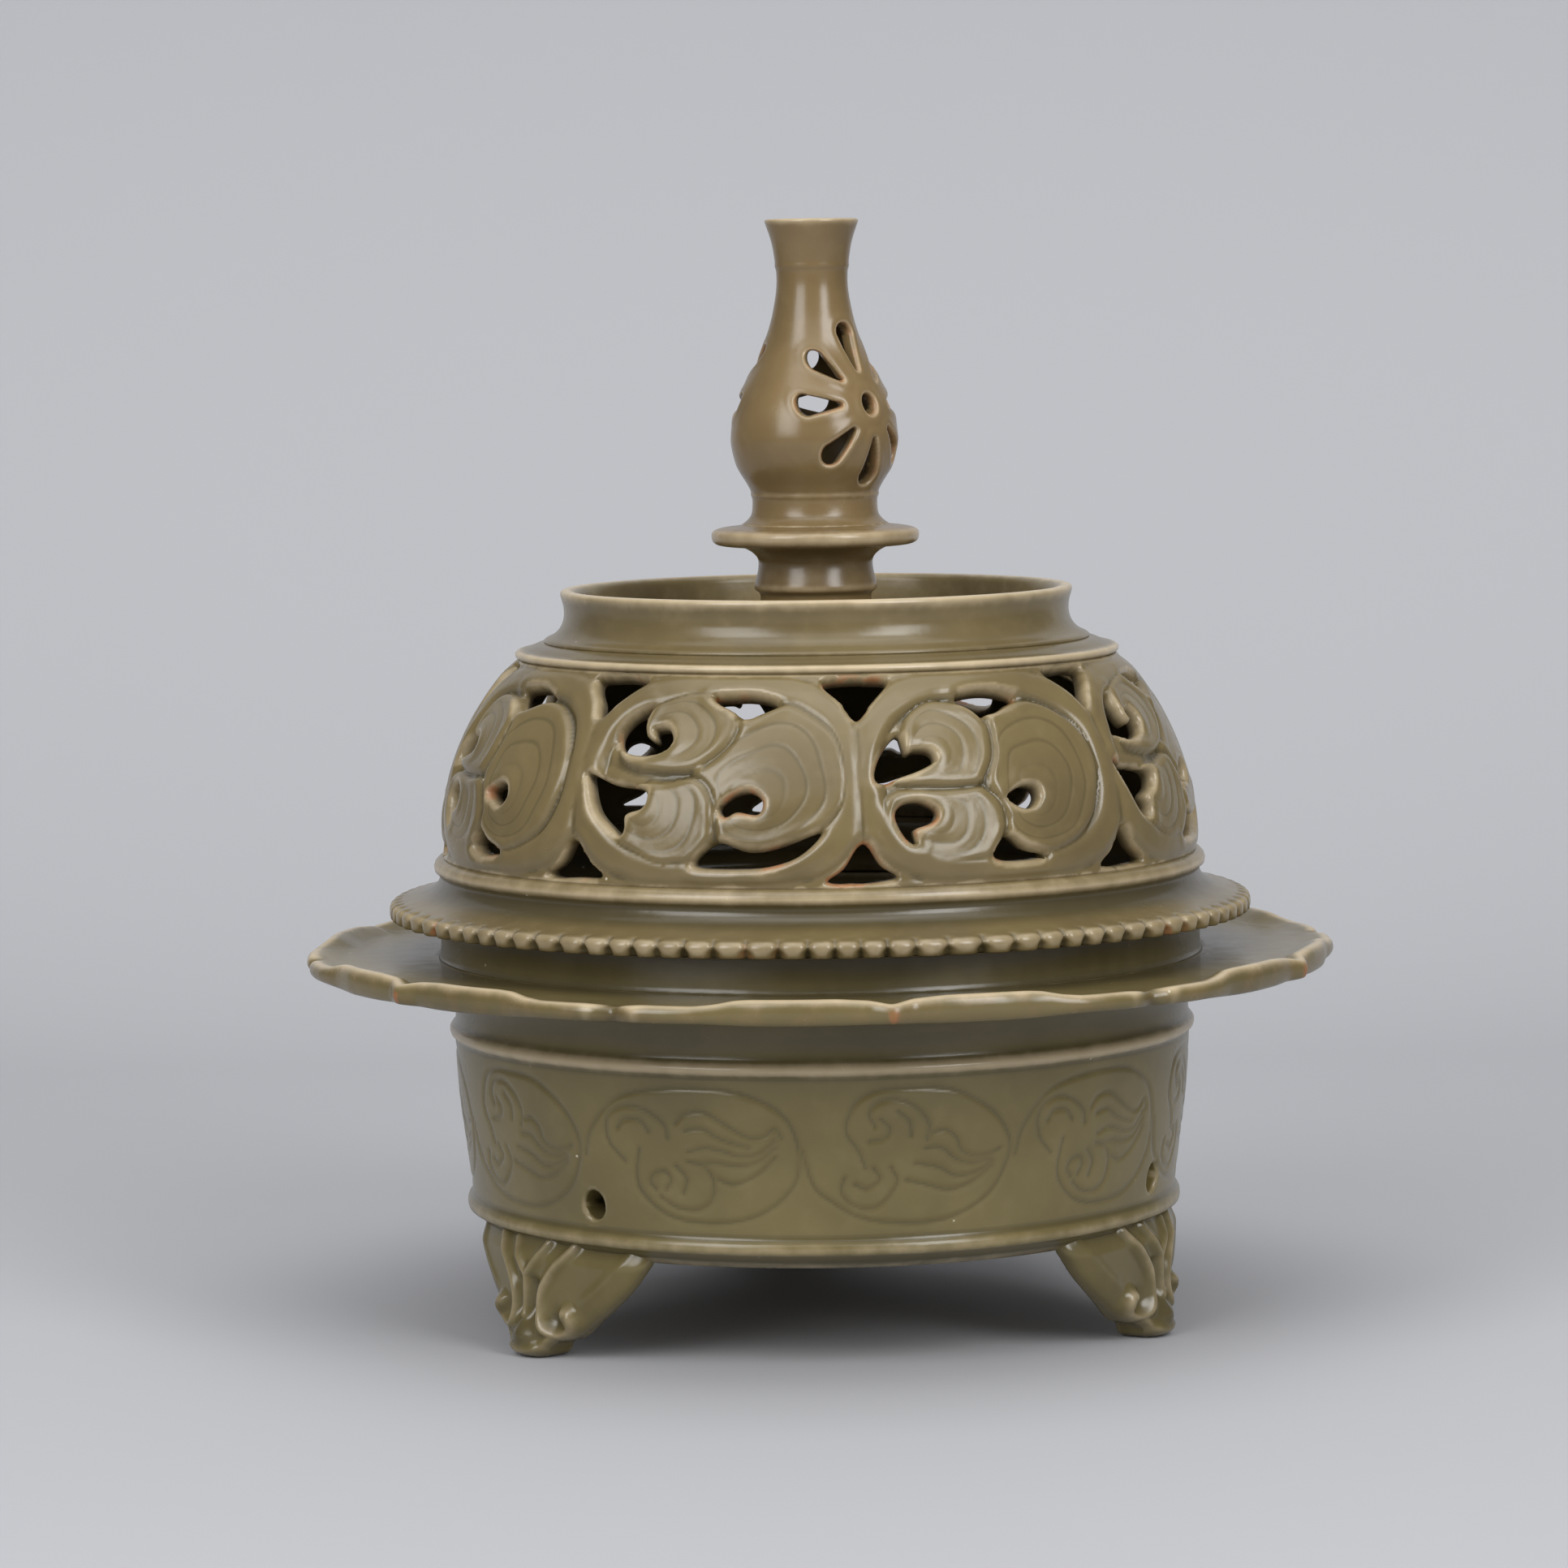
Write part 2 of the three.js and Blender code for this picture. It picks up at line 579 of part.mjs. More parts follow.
// Three-cornered gaps where two round stems part, from the middle of the line between them
const UPPER_GAP = [[-7.4, 21.4], [-0.7, 12.4], [0.9, 12.4], [8.4, 20.8], [6.6, 22]];
const LOWER_GAP = [[-8, -21.8], [-3, -17.8], [0, -13.2], [3, -17.8], [7, -21.8]];
const MEDALLION_HOLES = [
  [UPPER_CURL_HOLE, LOWER_CURL_HOLE, RIGHT_CURL_EYE, TOP_CRESCENT, BOTTOM_CRESCENT],
  [SECOND_UPPER_HOLE, SECOND_LOWER_HOLE, SECOND_EYE, SECOND_TOP_CRESCENT, SECOND_BOTTOM_HOLE],
];

// A drawn hole laid on the dome, its field's middle at an angle
function domeCutter(outline, angle, arcLength) {
  const pitch = 360 / MEDALLIONS;
  const depth = DOME_WALL + 2 * CUT_MARGIN;
  const place = (x, y, d) => {
    const share = domeArcShare((y / FIELD_HEIGHT + 0.5) * arcLength);
    const [radius, z] = domePoint(share, DOME_WALL + CUT_MARGIN - d);
    return polar(radius, angle + (x / FIELD_WIDTH) * pitch, z);
  };
  return wrappedCutter(outline, depth, place);
}

function dome() {
  let shell = toSolid(revolve(domeProfile(), ROUND_STEPS));
  const pitch = 360 / MEDALLIONS;
  const arcLength = domeArcLength();
  for (let i = 0; i < MEDALLIONS; i += 1) {
    const angle = FIRST_MEDALLION + i * pitch;
    for (const outline of MEDALLION_HOLES[i % MEDALLION_HOLES.length]) {
      shell = shell.subtract(domeCutter(outline, angle, arcLength));
    }
    for (const outline of [UPPER_GAP, LOWER_GAP]) {
      shell = shell.subtract(domeCutter(outline, angle + pitch / 2, arcLength));
    }
  }
  return toGeometry(shell);
}

// Shoulder plate: closes the dome round a smoke hole and carries the collar and the finial
function coverShoulder() {
  const edge = domeTop - SEAT_GAP;
  const profile = [
    [SMOKE_HOLE_RADIUS, domeTopZ],
    [edge, domeTopZ],
    [domeTop, domeTopZ + SHOULDER_THICKNESS * 0.35],
    [edge - SHOULDER_SLOPE / 4, domeTopZ + SHOULDER_THICKNESS * 0.65],
    [edge - SHOULDER_SLOPE, shoulderZ],
    [SMOKE_HOLE_RADIUS, shoulderZ],
  ];
  return revolve(profile, ROUND_STEPS);
}

function coverCollar() {
  const rim = shoulderZ + COLLAR_HEIGHT;
  const inside = collarWaist - COLLAR_WALL;
  const profile = [
    [inside, shoulderZ],
    [collarWaist + COLLAR_FOOT_OUT, shoulderZ],
    [collarWaist + COLLAR_FOOT_OUT / 3, shoulderZ + COLLAR_HEIGHT * 0.18],
    [collarWaist, shoulderZ + COLLAR_HEIGHT * 0.45],
    [collarWaist + COLLAR_FLARE, rim - COLLAR_ROUNDING],
    [collarWaist + COLLAR_FLARE - COLLAR_ROUNDING, rim],
    [inside, rim],
  ];
  return revolve(profile, ROUND_STEPS);
}

function finialStem() {
  const ringZ = shoulderZ + STEM_RING_RISE;
  const profile = [
    [SMOKE_HOLE_RADIUS, shoulderZ],
    [STEM_RADIUS + STEM_FOOT_OUT, shoulderZ],
    [STEM_RADIUS, shoulderZ + STEM_RING_RISE * 0.35],
    ...ridge(STEM_RADIUS, ringZ, STEM_RING_OUT, STEM_RING_HEIGHT),
    [STEM_RADIUS, discZ - 2 * FLARE_HEIGHT],
    [STEM_RADIUS + STEM_FLARE * 0.4, discZ - FLARE_HEIGHT],
    [STEM_RADIUS + STEM_FLARE, discZ],
    [SMOKE_HOLE_RADIUS, discZ],
  ];
  return revolve(profile, FINIAL_STEPS);
}

function finialDisc() {
  const round = DISC_THICKNESS * 0.3;
  const profile = [
    [SMOKE_HOLE_RADIUS, discZ],
    [DISC_RADIUS - round, discZ],
    [DISC_RADIUS, discZ + round],
    [DISC_RADIUS, bottleZ - round],
    [DISC_RADIUS - round, bottleZ],
    [SMOKE_HOLE_RADIUS, bottleZ],
  ];
  return revolve(profile, FINIAL_STEPS);
}

// Bottle: outside from its foot ring over the belly to the trumpet mouth, then the bore
function bottleOutside() {
  const mouthZ = bottleZ + BOTTLE_HEIGHT;
  const ringRise = BELLY_RISE * 0.33;
  const foot = [
    [BOTTLE_WAIST + BOTTLE_FOOT_OUT, bottleZ],
    [BOTTLE_WAIST, bottleZ + BELLY_RISE * 0.15],
    [BOTTLE_WAIST + 0.7, bottleZ + ringRise],
  ];
  const belly = smooth(
    [
      [BOTTLE_WAIST + 0.2, bottleZ + ringRise + 1.2],
      [BOTTLE_RADIUS * 0.93, bottleZ + BELLY_RISE * 0.65],
      [BOTTLE_RADIUS, bottleZ + BELLY_RISE],
      [BOTTLE_RADIUS * 0.86, bottleZ + BELLY_RISE + (NECK_RISE - BELLY_RISE) * 0.32],
      [(BOTTLE_RADIUS + 2 * NECK_RADIUS) / 3 + 0.3, bottleZ + BELLY_RISE + (NECK_RISE - BELLY_RISE) * 0.6],
      [NECK_RADIUS, bottleZ + NECK_RISE],
      [NECK_RADIUS + 0.8, mouthZ - (BOTTLE_HEIGHT - NECK_RISE) * 0.35],
      [BOTTLE_MOUTH_RADIUS, mouthZ - 0.8],
    ],
    8,
  );
  return [...foot, ...belly];
}

function bottleProfile() {
  const mouthZ = bottleZ + BOTTLE_HEIGHT;
  const outside = bottleOutside();
  const inside = outside
    .slice(1, -1)
    .filter((point, i) => i % 2 === 0)
    .map(([radius, z]) => [radius - BOTTLE_WALL, z])
    .reverse();
  return [
    ...outside,
    [BOTTLE_MOUTH_RADIUS - MOUTH_ROUNDING, mouthZ],
    [BOTTLE_MOUTH_RADIUS - BOTTLE_WALL + MOUTH_ROUNDING, mouthZ],
    ...inside,
    [BOTTLE_WAIST - BOTTLE_WALL, bottleZ],
  ];
}

// A petal drawn along +X: pointed tail near the flower's middle, round head outside
function petalOutline() {
  const half = PETAL_WIDTH / 2;
  const headX = PETAL_START + PETAL_LENGTH - half;
  return [
    [PETAL_START, 0],
    [headX, -half],
    [headX + half * 0.8, -half * 0.5],
    [headX + half * 0.8, half * 0.5],
    [headX, half],
  ];
}

function flowerOutlines() {
  const outlines = [ellipseOutline(2 * FLOWER_EYE_RADIUS, 2 * FLOWER_EYE_RADIUS, 8)];
  for (let i = 0; i < FLOWER_PETALS; i += 1) {
    const turn = (2 * Math.PI * i) / FLOWER_PETALS + Math.PI / 2;
    const [c, s] = [Math.cos(turn), Math.sin(turn)];
    outlines.push(petalOutline().map(([x, y]) => [x * c - y * s, x * s + y * c]));
  }
  return outlines;
}

// Outside radius of the bottle at a height
function bottleRadiusAt(z) {
  const outside = bottleOutside();
  const above = outside.findIndex(([, height]) => height >= z);
  const [r0, z0] = outside[above - 1];
  const [r1, z1] = outside[above];
  return THREE.MathUtils.mapLinear(z, z0, z1, r0, r1);
}

function finialBottle() {
  let bottle = toSolid(revolve(bottleProfile(), FINIAL_STEPS));
  const middleZ = bottleZ + FLOWER_RISE;
  const start = 1;
  const depth = BOTTLE_RADIUS + CUT_MARGIN - start;
  for (let i = 0; i < FLOWERS; i += 1) {
    const angle = FIRST_FLOWER + (360 * i) / FLOWERS;
    const place = (x, y, r) => {
      const turn = THREE.MathUtils.radToDeg(x / bottleRadiusAt(middleZ + y));
      return polar(start + r, angle + turn, middleZ + y);
    };
    for (const outline of flowerOutlines()) {
      bottle = bottle.subtract(wrappedCutter(outline, depth, place));
    }
  }
  return toGeometry(bottle);
}

addPiece("bowl", bowl(), BOWL_GLAZE);
addPiece("bowl_flange", bowlFlange(), FLANGE_GLAZE);
for (const [name, angle] of Object.entries(LEG_ANGLES)) addPiece(name, leg(angle), BOWL_GLAZE);
addPiece("cover_flange", coverFlange(), COVER_GLAZE);
addPiece("cover_lip", coverLip(), COVER_GLAZE);
addPiece("cover_dome", dome(), COVER_GLAZE);
addPiece("cover_shoulder", coverShoulder(), COVER_GLAZE);
addPiece("cover_collar", coverCollar(), COVER_GLAZE);
addPiece("finial_stem", finialStem(), FINIAL_GLAZE);
addPiece("finial_disc", finialDisc(), FINIAL_GLAZE);
addPiece("finial_bottle", finialBottle(), FINIAL_GLAZE);

export default burner;
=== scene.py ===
"""A celadon-glazed tripod incense burner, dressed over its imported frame.

Shapes are worked out in millimetres and turned into metres when a mesh is made. Angles are in
degrees from the front (-Y) towards the right (+X), as in the part's source.
"""
import math

import bmesh
import bpy
import numpy as np
from mathutils import Matrix, Vector


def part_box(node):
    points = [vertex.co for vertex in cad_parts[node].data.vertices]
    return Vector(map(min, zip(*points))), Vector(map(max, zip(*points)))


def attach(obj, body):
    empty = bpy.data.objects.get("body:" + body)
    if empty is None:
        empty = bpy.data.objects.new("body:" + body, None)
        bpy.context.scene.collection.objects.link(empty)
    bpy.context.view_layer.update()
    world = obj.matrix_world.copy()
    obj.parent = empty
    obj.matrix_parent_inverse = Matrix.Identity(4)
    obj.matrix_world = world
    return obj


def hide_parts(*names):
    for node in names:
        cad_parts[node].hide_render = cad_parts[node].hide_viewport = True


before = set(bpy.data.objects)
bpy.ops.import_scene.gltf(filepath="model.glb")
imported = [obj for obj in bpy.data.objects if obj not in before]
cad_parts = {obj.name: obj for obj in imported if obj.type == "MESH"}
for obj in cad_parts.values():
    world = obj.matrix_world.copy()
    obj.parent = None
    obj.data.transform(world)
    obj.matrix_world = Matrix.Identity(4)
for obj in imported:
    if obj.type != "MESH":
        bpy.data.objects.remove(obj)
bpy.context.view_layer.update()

MM = 0.001
SEED = 11
FACE_LIMIT = 190000
FAR = 9.0  # a distance from a hole at which nothing is rounded or snapped

# Camera, solved from the round edges of the photograph
PHOTO_PIXELS = 1932
FOCAL_PIXELS = 7173
SENSOR_WIDTH = 36
CAMERA_DISTANCE = 1230.2
CAMERA_HEIGHT = 222.2
CAMERA_PITCH = 5.04
CAMERA_YAW = -0.34
CAMERA_ROLL = -0.76

# Bowl
WALL_INSET = 2.5
BOWL_WALL = 4.6
BOWL_TAPER = 3
MOUTH_WALL = 4
FLOOR_THICKNESS = 6
RIDGE_OUT = 1.0
LOW_RIDGE_Z = 26.7
HIGH_RIDGE_Z = 63.2
AIR_HOLE_ANGLES = (-38.3, 65.2, 187)
AIR_HOLE_Z = 33.5
AIR_HOLE_SIZE = (5.4, 6.2)
INCISED_MEDALLIONS = 11
INCISED_CONTACTS = [-72, -39.5, -3.75, 29.75, 62]
INCISED_HEIGHT = (31.3, 59.1)
INCISED_HALF_WIDTH = 17.2
INCISED_LINE = 0.62
INCISED_DEPTH = 0.28

# Foliate flange
PETALS = 6
CUSP_ANGLE = 7.5
FLANGE_THICKNESS = 3.2
FLANGE_NOSE = 1.7
TURN_UP = 6.5

# Cover
CRIMPS = 96
CRIMP_DEPTH = 2.2
MEDALLIONS = 8
FIRST_MEDALLION = -16.2
FIELD_WIDTH = 60
FIELD_HEIGHT = 46
DOME_WALL = 4.2
DOME_ROUNDNESS = 2.4
STEM_HALF_WIDTH = 3.4
STEM_MIDDLE = (29, 20.4)
GROUND_DEPTH = 1.7
GROWTH_LINES = 4
HAND_WAVER = 0.22

# Finial
BORE_RADIUS = 7.5
BOTTLE_WALL = 2.9
FLOWERS = 2
FIRST_FLOWER = 46.5
FLOWER_Z = 194.2
FLOWER_EYE_RADIUS = 1.9
PETAL_START = 7.5
PETAL_ENDS = [16.9, 16.6, 16.9, 16.6, 16.7, 16.6, 17.2, 15]
PETAL_HEAD_RADIUS = 2.25

# Legs
LEG_ANGLES = {"leg_left": -53.6, "leg_right": 66.4, "leg_back": 186.4}
LEG_SPREAD = 25
LEG_FACE = 74.6
LEG_BACK = 67.8
LEG_TOP = 25


def measures(node):
    """A CAD node's reach along +X and its lowest and highest points, in millimetres."""
    low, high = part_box(node)
    return high[0] / MM, low[2] / MM, high[2] / MM


LEDGE_RADIUS, STAND_Z, RIM_Z = measures("bowl")
FLANGE_REACH, FLANGE_Z, _ = measures("bowl_flange")
CRIMP_RADIUS, _, _ = measures("cover_flange")
DOME_FOOT, DOME_FOOT_Z, DOME_TOP_Z = measures("cover_dome")
DOME_TOP, _, SHOULDER_Z = measures("cover_shoulder")
LIP_RADIUS, LIP_Z, _ = measures("cover_lip")
COLLAR_FOOT, _, COLLAR_Z = measures("cover_collar")
DISC_RADIUS, DISC_Z, _ = measures("finial_disc")
_, BOTTLE_Z, MOUTH_Z = measures("finial_bottle")
MOUTH_OUTSIDE = LEDGE_RADIUS - 5
WALL_TOP = MOUTH_OUTSIDE - WALL_INSET
WALL_BOTTOM = WALL_TOP - BOWL_TAPER


# Curves and distances

def smoothstep(value, low, high):
    t = np.clip((value - low) / (high - low), 0, 1)
    return t * t * (3 - 2 * t)


def bell(value, size):
    """A soft bump: 1 where the value is nought, and faded out at twice the size."""
    return np.exp(-((value / size) ** 2))


def rolled(distance, size):
    """Fall of a rolled edge: 1 on the edge, and nought from the size inwards."""
    outward = 1 - np.clip(distance / size, 0, 1)
    return 1 - np.sqrt(1 - outward**2)


def wrapped(angle):
    """An angle between -180 and 180 degrees."""
    return (angle + 180) % 360 - 180


def full_turn(steps):
    return np.arange(steps) * 360 / steps


def spline(points, samples, closed=True):
    """A Catmull-Rom curve through the points."""
    points = np.asarray(points, float)
    if closed:
        ring = np.concatenate([points[-1:], points, points[:2]])
    else:
        ring = np.concatenate([2 * points[:1] - points[1:2], points, 2 * points[-1:] - points[-2:-1]])
    t = np.arange(samples)[:, None] / samples
    curve = np.concatenate([
        0.5 * (2 * p1 + (p2 - p0) * t + (2 * p0 - 5 * p1 + 4 * p2 - p3) * t**2
               + (3 * p1 - p0 - 3 * p2 + p3) * t**3)
        for p0, p1, p2, p3 in zip(ring[:-3], ring[1:-2], ring[2:-1], ring[3:])
    ])
    return curve if closed else np.concatenate([curve, points[-1:]])


def path_distance(x, y, path):
    """Distance of each point to an open path."""
    path = np.asarray(path, float)
    best = np.full(x.shape, np.inf)
    for start, end in zip(path[:-1], path[1:]):
        along = end - start
        length = max(float(along @ along), 1e-9)
        t = np.clip(((x - start[0]) * along[0] + (y - start[1]) * along[1]) / length, 0, 1)
        best = np.minimum(best, np.hypot(x - start[0] - t * along[0], y - start[1] - t * along[1]))
    return best


def outline_distance(x, y, outline):
    """Distance to a closed outline, negative inside it."""
    best = path_distance(x, y, np.concatenate([outline, outline[:1]]))
    inside = np.zeros(x.shape, bool)
    for (x0, y0), (x1, y1) in zip(outline, np.roll(outline, -1, axis=0)):
        crosses = (y0 > y) != (y1 > y)
        with np.errstate(divide="ignore", invalid="ignore"):
            inside ^= crosses & (x < (x1 - x0) * (y - y0) / (y1 - y0) + x0)
    return np.where(inside, -best, best)


def near_outline(x, y, outline, margin, start):
    """outline_distance where it is under the margin, and start elsewhere."""
    low, high = outline.min(0) - margin, outline.max(0) + margin
    near = (x > low[0]) & (x < high[0]) & (y > low[1]) & (y < high[1])
    result = start.copy()
    result[near] = np.minimum(result[near], outline_distance(x[near], y[near], outline))
    return result


def ripple(points, size, seed):
    """Smooth noise of about unit height over points in space."""
    waves = 14
    rng = np.random.default_rng(seed)
    directions = rng.normal(size=(waves, 3)) * 2 * math.pi / size / 1.7
    phases = rng.uniform(0, 2 * math.pi, waves)
    return np.sin(points @ directions.T + phases).sum(-1) / math.sqrt(waves)


# Meshes: a shape is points and faces, and a dictionary of marks with a value for each point

def polar(radius, degrees, z):
    radius, angle, z = np.broadcast_arrays(radius, np.radians(degrees), z)
    return np.stack([radius * np.sin(angle), -radius * np.cos(angle), z], -1)


def offsets(radius, z, *points):
    """Profile points that are given from a radius and a height."""
    return [(radius + out, z + up) for out, up in points]


def rounded(profile):
    """A closed profile with its corners cut back twice."""
    points = np.asarray(profile, float)
    for _ in range(2):
        after = np.roll(points, -1, axis=0)
        points = np.stack([0.75 * points + 0.25 * after, 0.25 * points + 0.75 * after], 1).reshape(-1, 2)
    return points


def evenly(points, spacing, closed=True):
    """Points along a path at about even spacing."""
    path = np.concatenate([points, points[:1]]) if closed else np.asarray(points, float)
    walked = np.concatenate([[0], np.cumsum(np.hypot(*np.diff(path, axis=0).T))])
    count = max(int(walked[-1] / spacing), 8)
    at = np.linspace(0, walked[-1], count, endpoint=not closed)
    return np.stack([np.interp(at, walked, path[:, 0]), np.interp(at, walked, path[:, 1])], -1)


def grid_faces(rows, columns, wrap_rows):
    """Quads of a grid that is closed along its columns, and along its rows if asked."""
    index = np.arange(rows * columns).reshape(rows, columns)
    right = np.roll(index, -1, axis=1)
    quads = np.stack([index, right, np.roll(right, -1, axis=0), np.roll(index, -1, axis=0)], -1)
    return (quads if wrap_rows else quads[:-1]).reshape(-1, 4)


def wound(radius, turn, z, marks=None, closed=True):
    """A shape from rows of points that go round the axis."""
    points = polar(radius, turn, z)
    faces = grid_faces(*points.shape[:2], closed)
    return (points.reshape(-1, 3), faces), {key: values.ravel() for key, values in (marks or {}).items()}


def lathe(profile, steps, spacing, closed=True):
    """A profile of (radius, z) points, outwards at its foot, turned about the axis.

    A closed profile gets rounded corners. An open one starts and ends on the axis.
    """
    section = evenly(rounded(profile) if closed else profile, spacing, closed)
    return wound(section[:, :1], full_turn(steps), section[:, 1:], closed=closed)


def pierced_faces(level, wrap):
    """Triangles of a grid, without those that touch a vertex inside a hole."""
    rows, columns = level.shape
    quads = grid_faces(rows, columns, False).reshape(rows - 1, columns, 4)
    a, b, c, d = (quads if wrap else quads[:, :-1]).reshape(-1, 4).T
    flat = level.ravel()
    other_way = ((flat[a] < 0) | (flat[c] < 0))[:, None]
    first = np.where(other_way, np.stack([a, b, d], 1), np.stack([a, b, c], 1))
    second = np.where(other_way, np.stack([b, c, d], 1), np.stack([a, c, d], 1))
    triangles = np.concatenate([first, second])
    values = flat[triangles]
    return triangles[(values >= 0).all(1) & (values.sum(1) > 0)]


def rim_edges(triangles, count):
    """Directed edges that only one triangle has."""
    edges = np.concatenate([triangles[:, [0, 1]], triangles[:, [1, 2]], triangles[:, [2, 0]]])
    forward = edges[:, 0].astype(np.int64) * count + edges[:, 1]
    backward = edges[:, 1].astype(np.int64) * count + edges[:, 0]
    return edges[~np.isin(forward, backward)]


RIM_LAYERS = (0.12, 0.5, 0.88)


def join_sheets(outer, inner, level, marks, wrap=True):
    """A closed shape from two matching sheets of points: walls join them along every rim.

    The marks are given on the outer sheet, and are nought everywhere else.
    """
    count = level.size
    triangles = pierced_faces(level, wrap)
    edges = rim_edges(triangles, count)
    rim = np.unique(edges)
    place = np.full(count, -1)
    place[rim] = np.arange(len(rim))
    outer, inner = outer.reshape(-1, 3), inner.reshape(-1, 3)
    points, layers = [outer, inner], [np.arange(count)]
    for number, share in enumerate(RIM_LAYERS):
        points.append(outer[rim] * (1 - share) + inner[rim] * share)
        layers.append(place + 2 * count + number * len(rim))
    layers.append(np.arange(count) + count)
    faces = [triangles, triangles[:, ::-1] + count]
    i, j = edges.T
    for above, below in zip(layers[:-1], layers[1:]):
        faces.append(np.stack([above[j], above[i], below[i]], 1))
        faces.append(np.stack([above[j], below[i], below[j]], 1))
    points = np.concatenate(points)
    marks = {key: np.pad(values.ravel(), (0, len(points) - count)) for key, values in marks.items()}
    return (points, np.concatenate(faces)), marks


SNAP_REACH = 0.56
LEAST_SLOPE = 0.3


def snap(level, step_x, step_y, spacing):
    """Moves for the vertices next to a hole's edge that put them on it, and the new levels."""
    padded = np.concatenate([level[:, -1:], level, level[:, :1]], 1)
    slope_x = np.gradient(padded, axis=1)[:, 1:-1] / step_x
    slope_y = np.gradient(level, axis=0) / step_y
    size = np.maximum(np.hypot(slope_x, slope_y), LEAST_SLOPE)
    near = np.abs(level) < SNAP_REACH * spacing
    move_x = np.where(near, -level * slope_x / size**2, 0)
    move_y = np.where(near, -level * slope_y / size**2, 0)
    return move_x, move_y, np.where(near, 0, level)


def from_edge(level, snapped):
    """Distance from the nearest edge, nought at the vertices that were put on it."""
    return np.where(snapped == 0, 0, np.maximum(level, 0))


def vectors(collection, key):
    values = np.empty(len(collection) * 3, np.float32)
    collection.foreach_get(key, values)
    return values.reshape(-1, 3)


def proudness(mesh, points, rounds):
    """How far each vertex stands proud of its smoothed surroundings, in millimetres."""
    count = len(points)
    edges = np.empty(len(mesh.edges) * 2, np.int32)
    mesh.edges.foreach_get("vertices", edges)
    i, j = edges.reshape(-1, 2).T
    neighbours = np.maximum(np.bincount(i, minlength=count) + np.bincount(j, minlength=count), 1)
    calm = points.copy()
    for _ in range(rounds):
        total = np.stack(
            [np.bincount(i, calm[j, k], count) + np.bincount(j, calm[i, k], count) for k in range(3)], 1
        )
        calm = 0.5 * calm + 0.5 * total / neighbours[:, None]
    return ((points - calm) * vectors(mesh.vertex_normals, "vector")).sum(1)


def tint(mesh, name, values):
    mesh.attributes.new(name, "FLOAT", "POINT").data.foreach_set("value", values.astype(np.float32))


def ring_marks(points, rings):
    """The strongest of some soft rings at each vertex: radius, height, size and strength of each."""
    radius = np.hypot(points[:, 0], points[:, 1])
    values = np.zeros(len(points))
    for at, z, size, strength in rings:
        values = np.maximum(values, strength * bell(np.hypot(radius - at, points[:, 2] - z), size))
    return values


def thinned(piece):
    """Takes faces away where the piece is plain, if it has more than the limit."""
    faces = sum(len(face.vertices) - 2 for face in piece.data.polygons)
    if faces <= FACE_LIMIT:
        return
    modifier = piece.modifiers.new("fewer_faces", "DECIMATE")
    modifier.ratio = FACE_LIMIT / faces
    evaluated = piece.evaluated_get(bpy.context.evaluated_depsgraph_get())
    mesh = bpy.data.meshes.new_from_object(evaluated)
    piece.modifiers.clear()
    piece.data = mesh


def glazed_piece(name, node, slot, shape, pale=(), dark=(), edges=1.0):
    """A mesh piece that replaces one CAD node, with the places marked where its glaze pools and thins and
    where light and shade are painted.

    pale are soft rings of thinned glaze and of painted light, dark are soft rings that are mostly painted
    shade, and edges is how strongly the glaze thins on sharp edges.
    """
    body, material = GLAZES[slot]
    (points, faces), marks = shape
    used = np.unique(faces)
    place = np.full(len(points), -1)
    place[used] = np.arange(len(used))
    mesh = bpy.data.meshes.new(name)
    mesh.from_pydata((points[used] * MM).tolist(), [], place[faces].tolist())
    for key, values in marks.items():
        tint(mesh, key, values[used])
    tidy = bmesh.new()
    tidy.from_mesh(mesh)
    bmesh.ops.remove_doubles(tidy, verts=tidy.verts, dist=1e-6)
    bmesh.ops.dissolve_degenerate(tidy, edges=tidy.edges, dist=1e-7)
    tidy.to_mesh(mesh)
    tidy.free()
    piece = bpy.data.objects.new(name, mesh)
    bpy.context.scene.collection.objects.link(piece)
    thinned(piece)
    mesh = piece.data
    mesh.shade_smooth()
    corners = vectors(mesh.vertices, "co").astype(float) / MM
    close, broad = proudness(mesh, corners, 10), proudness(mesh, corners, 50)
    thin_and_lit = smoothstep(close, 0.1, 0.55) * edges
    # Darkening in hollows and creases: glaze that pools there, and painted shade where shade falls.
    pool_and_shade = np.maximum(smoothstep(-broad, 0.08, 0.8), 0.6 * smoothstep(-close, 0.02, 0.16))
    # The pale rings add thinned glaze and painted light at given places, the dark rings mostly painted shade.
    tint(mesh, "thin_and_lit", np.maximum(thin_and_lit, ring_marks(corners, pale)))
    tint(mesh, "pool_and_shade", np.maximum(pool_and_shade, ring_marks(corners, dark)))
    mesh.materials.clear()
    mesh.materials.append(material)
    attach(piece, body)
    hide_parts(node)


# Glaze

def srgb(red, green, blue):
    """A colour written as 0 to 255 steps, as the renderer's linear values."""
    channels = []
    for step in (red, green, blue):
        value = step / 255
        channels.append(value / 12.92 if value <= 0.04045 else ((value + 0.055) / 1.055) ** 2.4)
    return (*channels, 1)


# Dark olive where glaze pools, also used as painted shade in hollows, creases and under overhangs
POOL_AND_SHADE = srgb(56, 50, 30)
WARM = srgb(140, 124, 88)
# Cream where glaze thins, also used as painted light and painted highlight at some lips, ridges and walls
CREAM = srgb(196, 178, 146)
BURNT = srgb(160, 96, 54)
SPECK = srgb(214, 206, 184)
PAPER = srgb(172, 173, 177)
CLOUD_SCALE, MOTTLE_SCALE, FINE_SCALE, SPECK_SCALE = 38, 210, 1100, 420


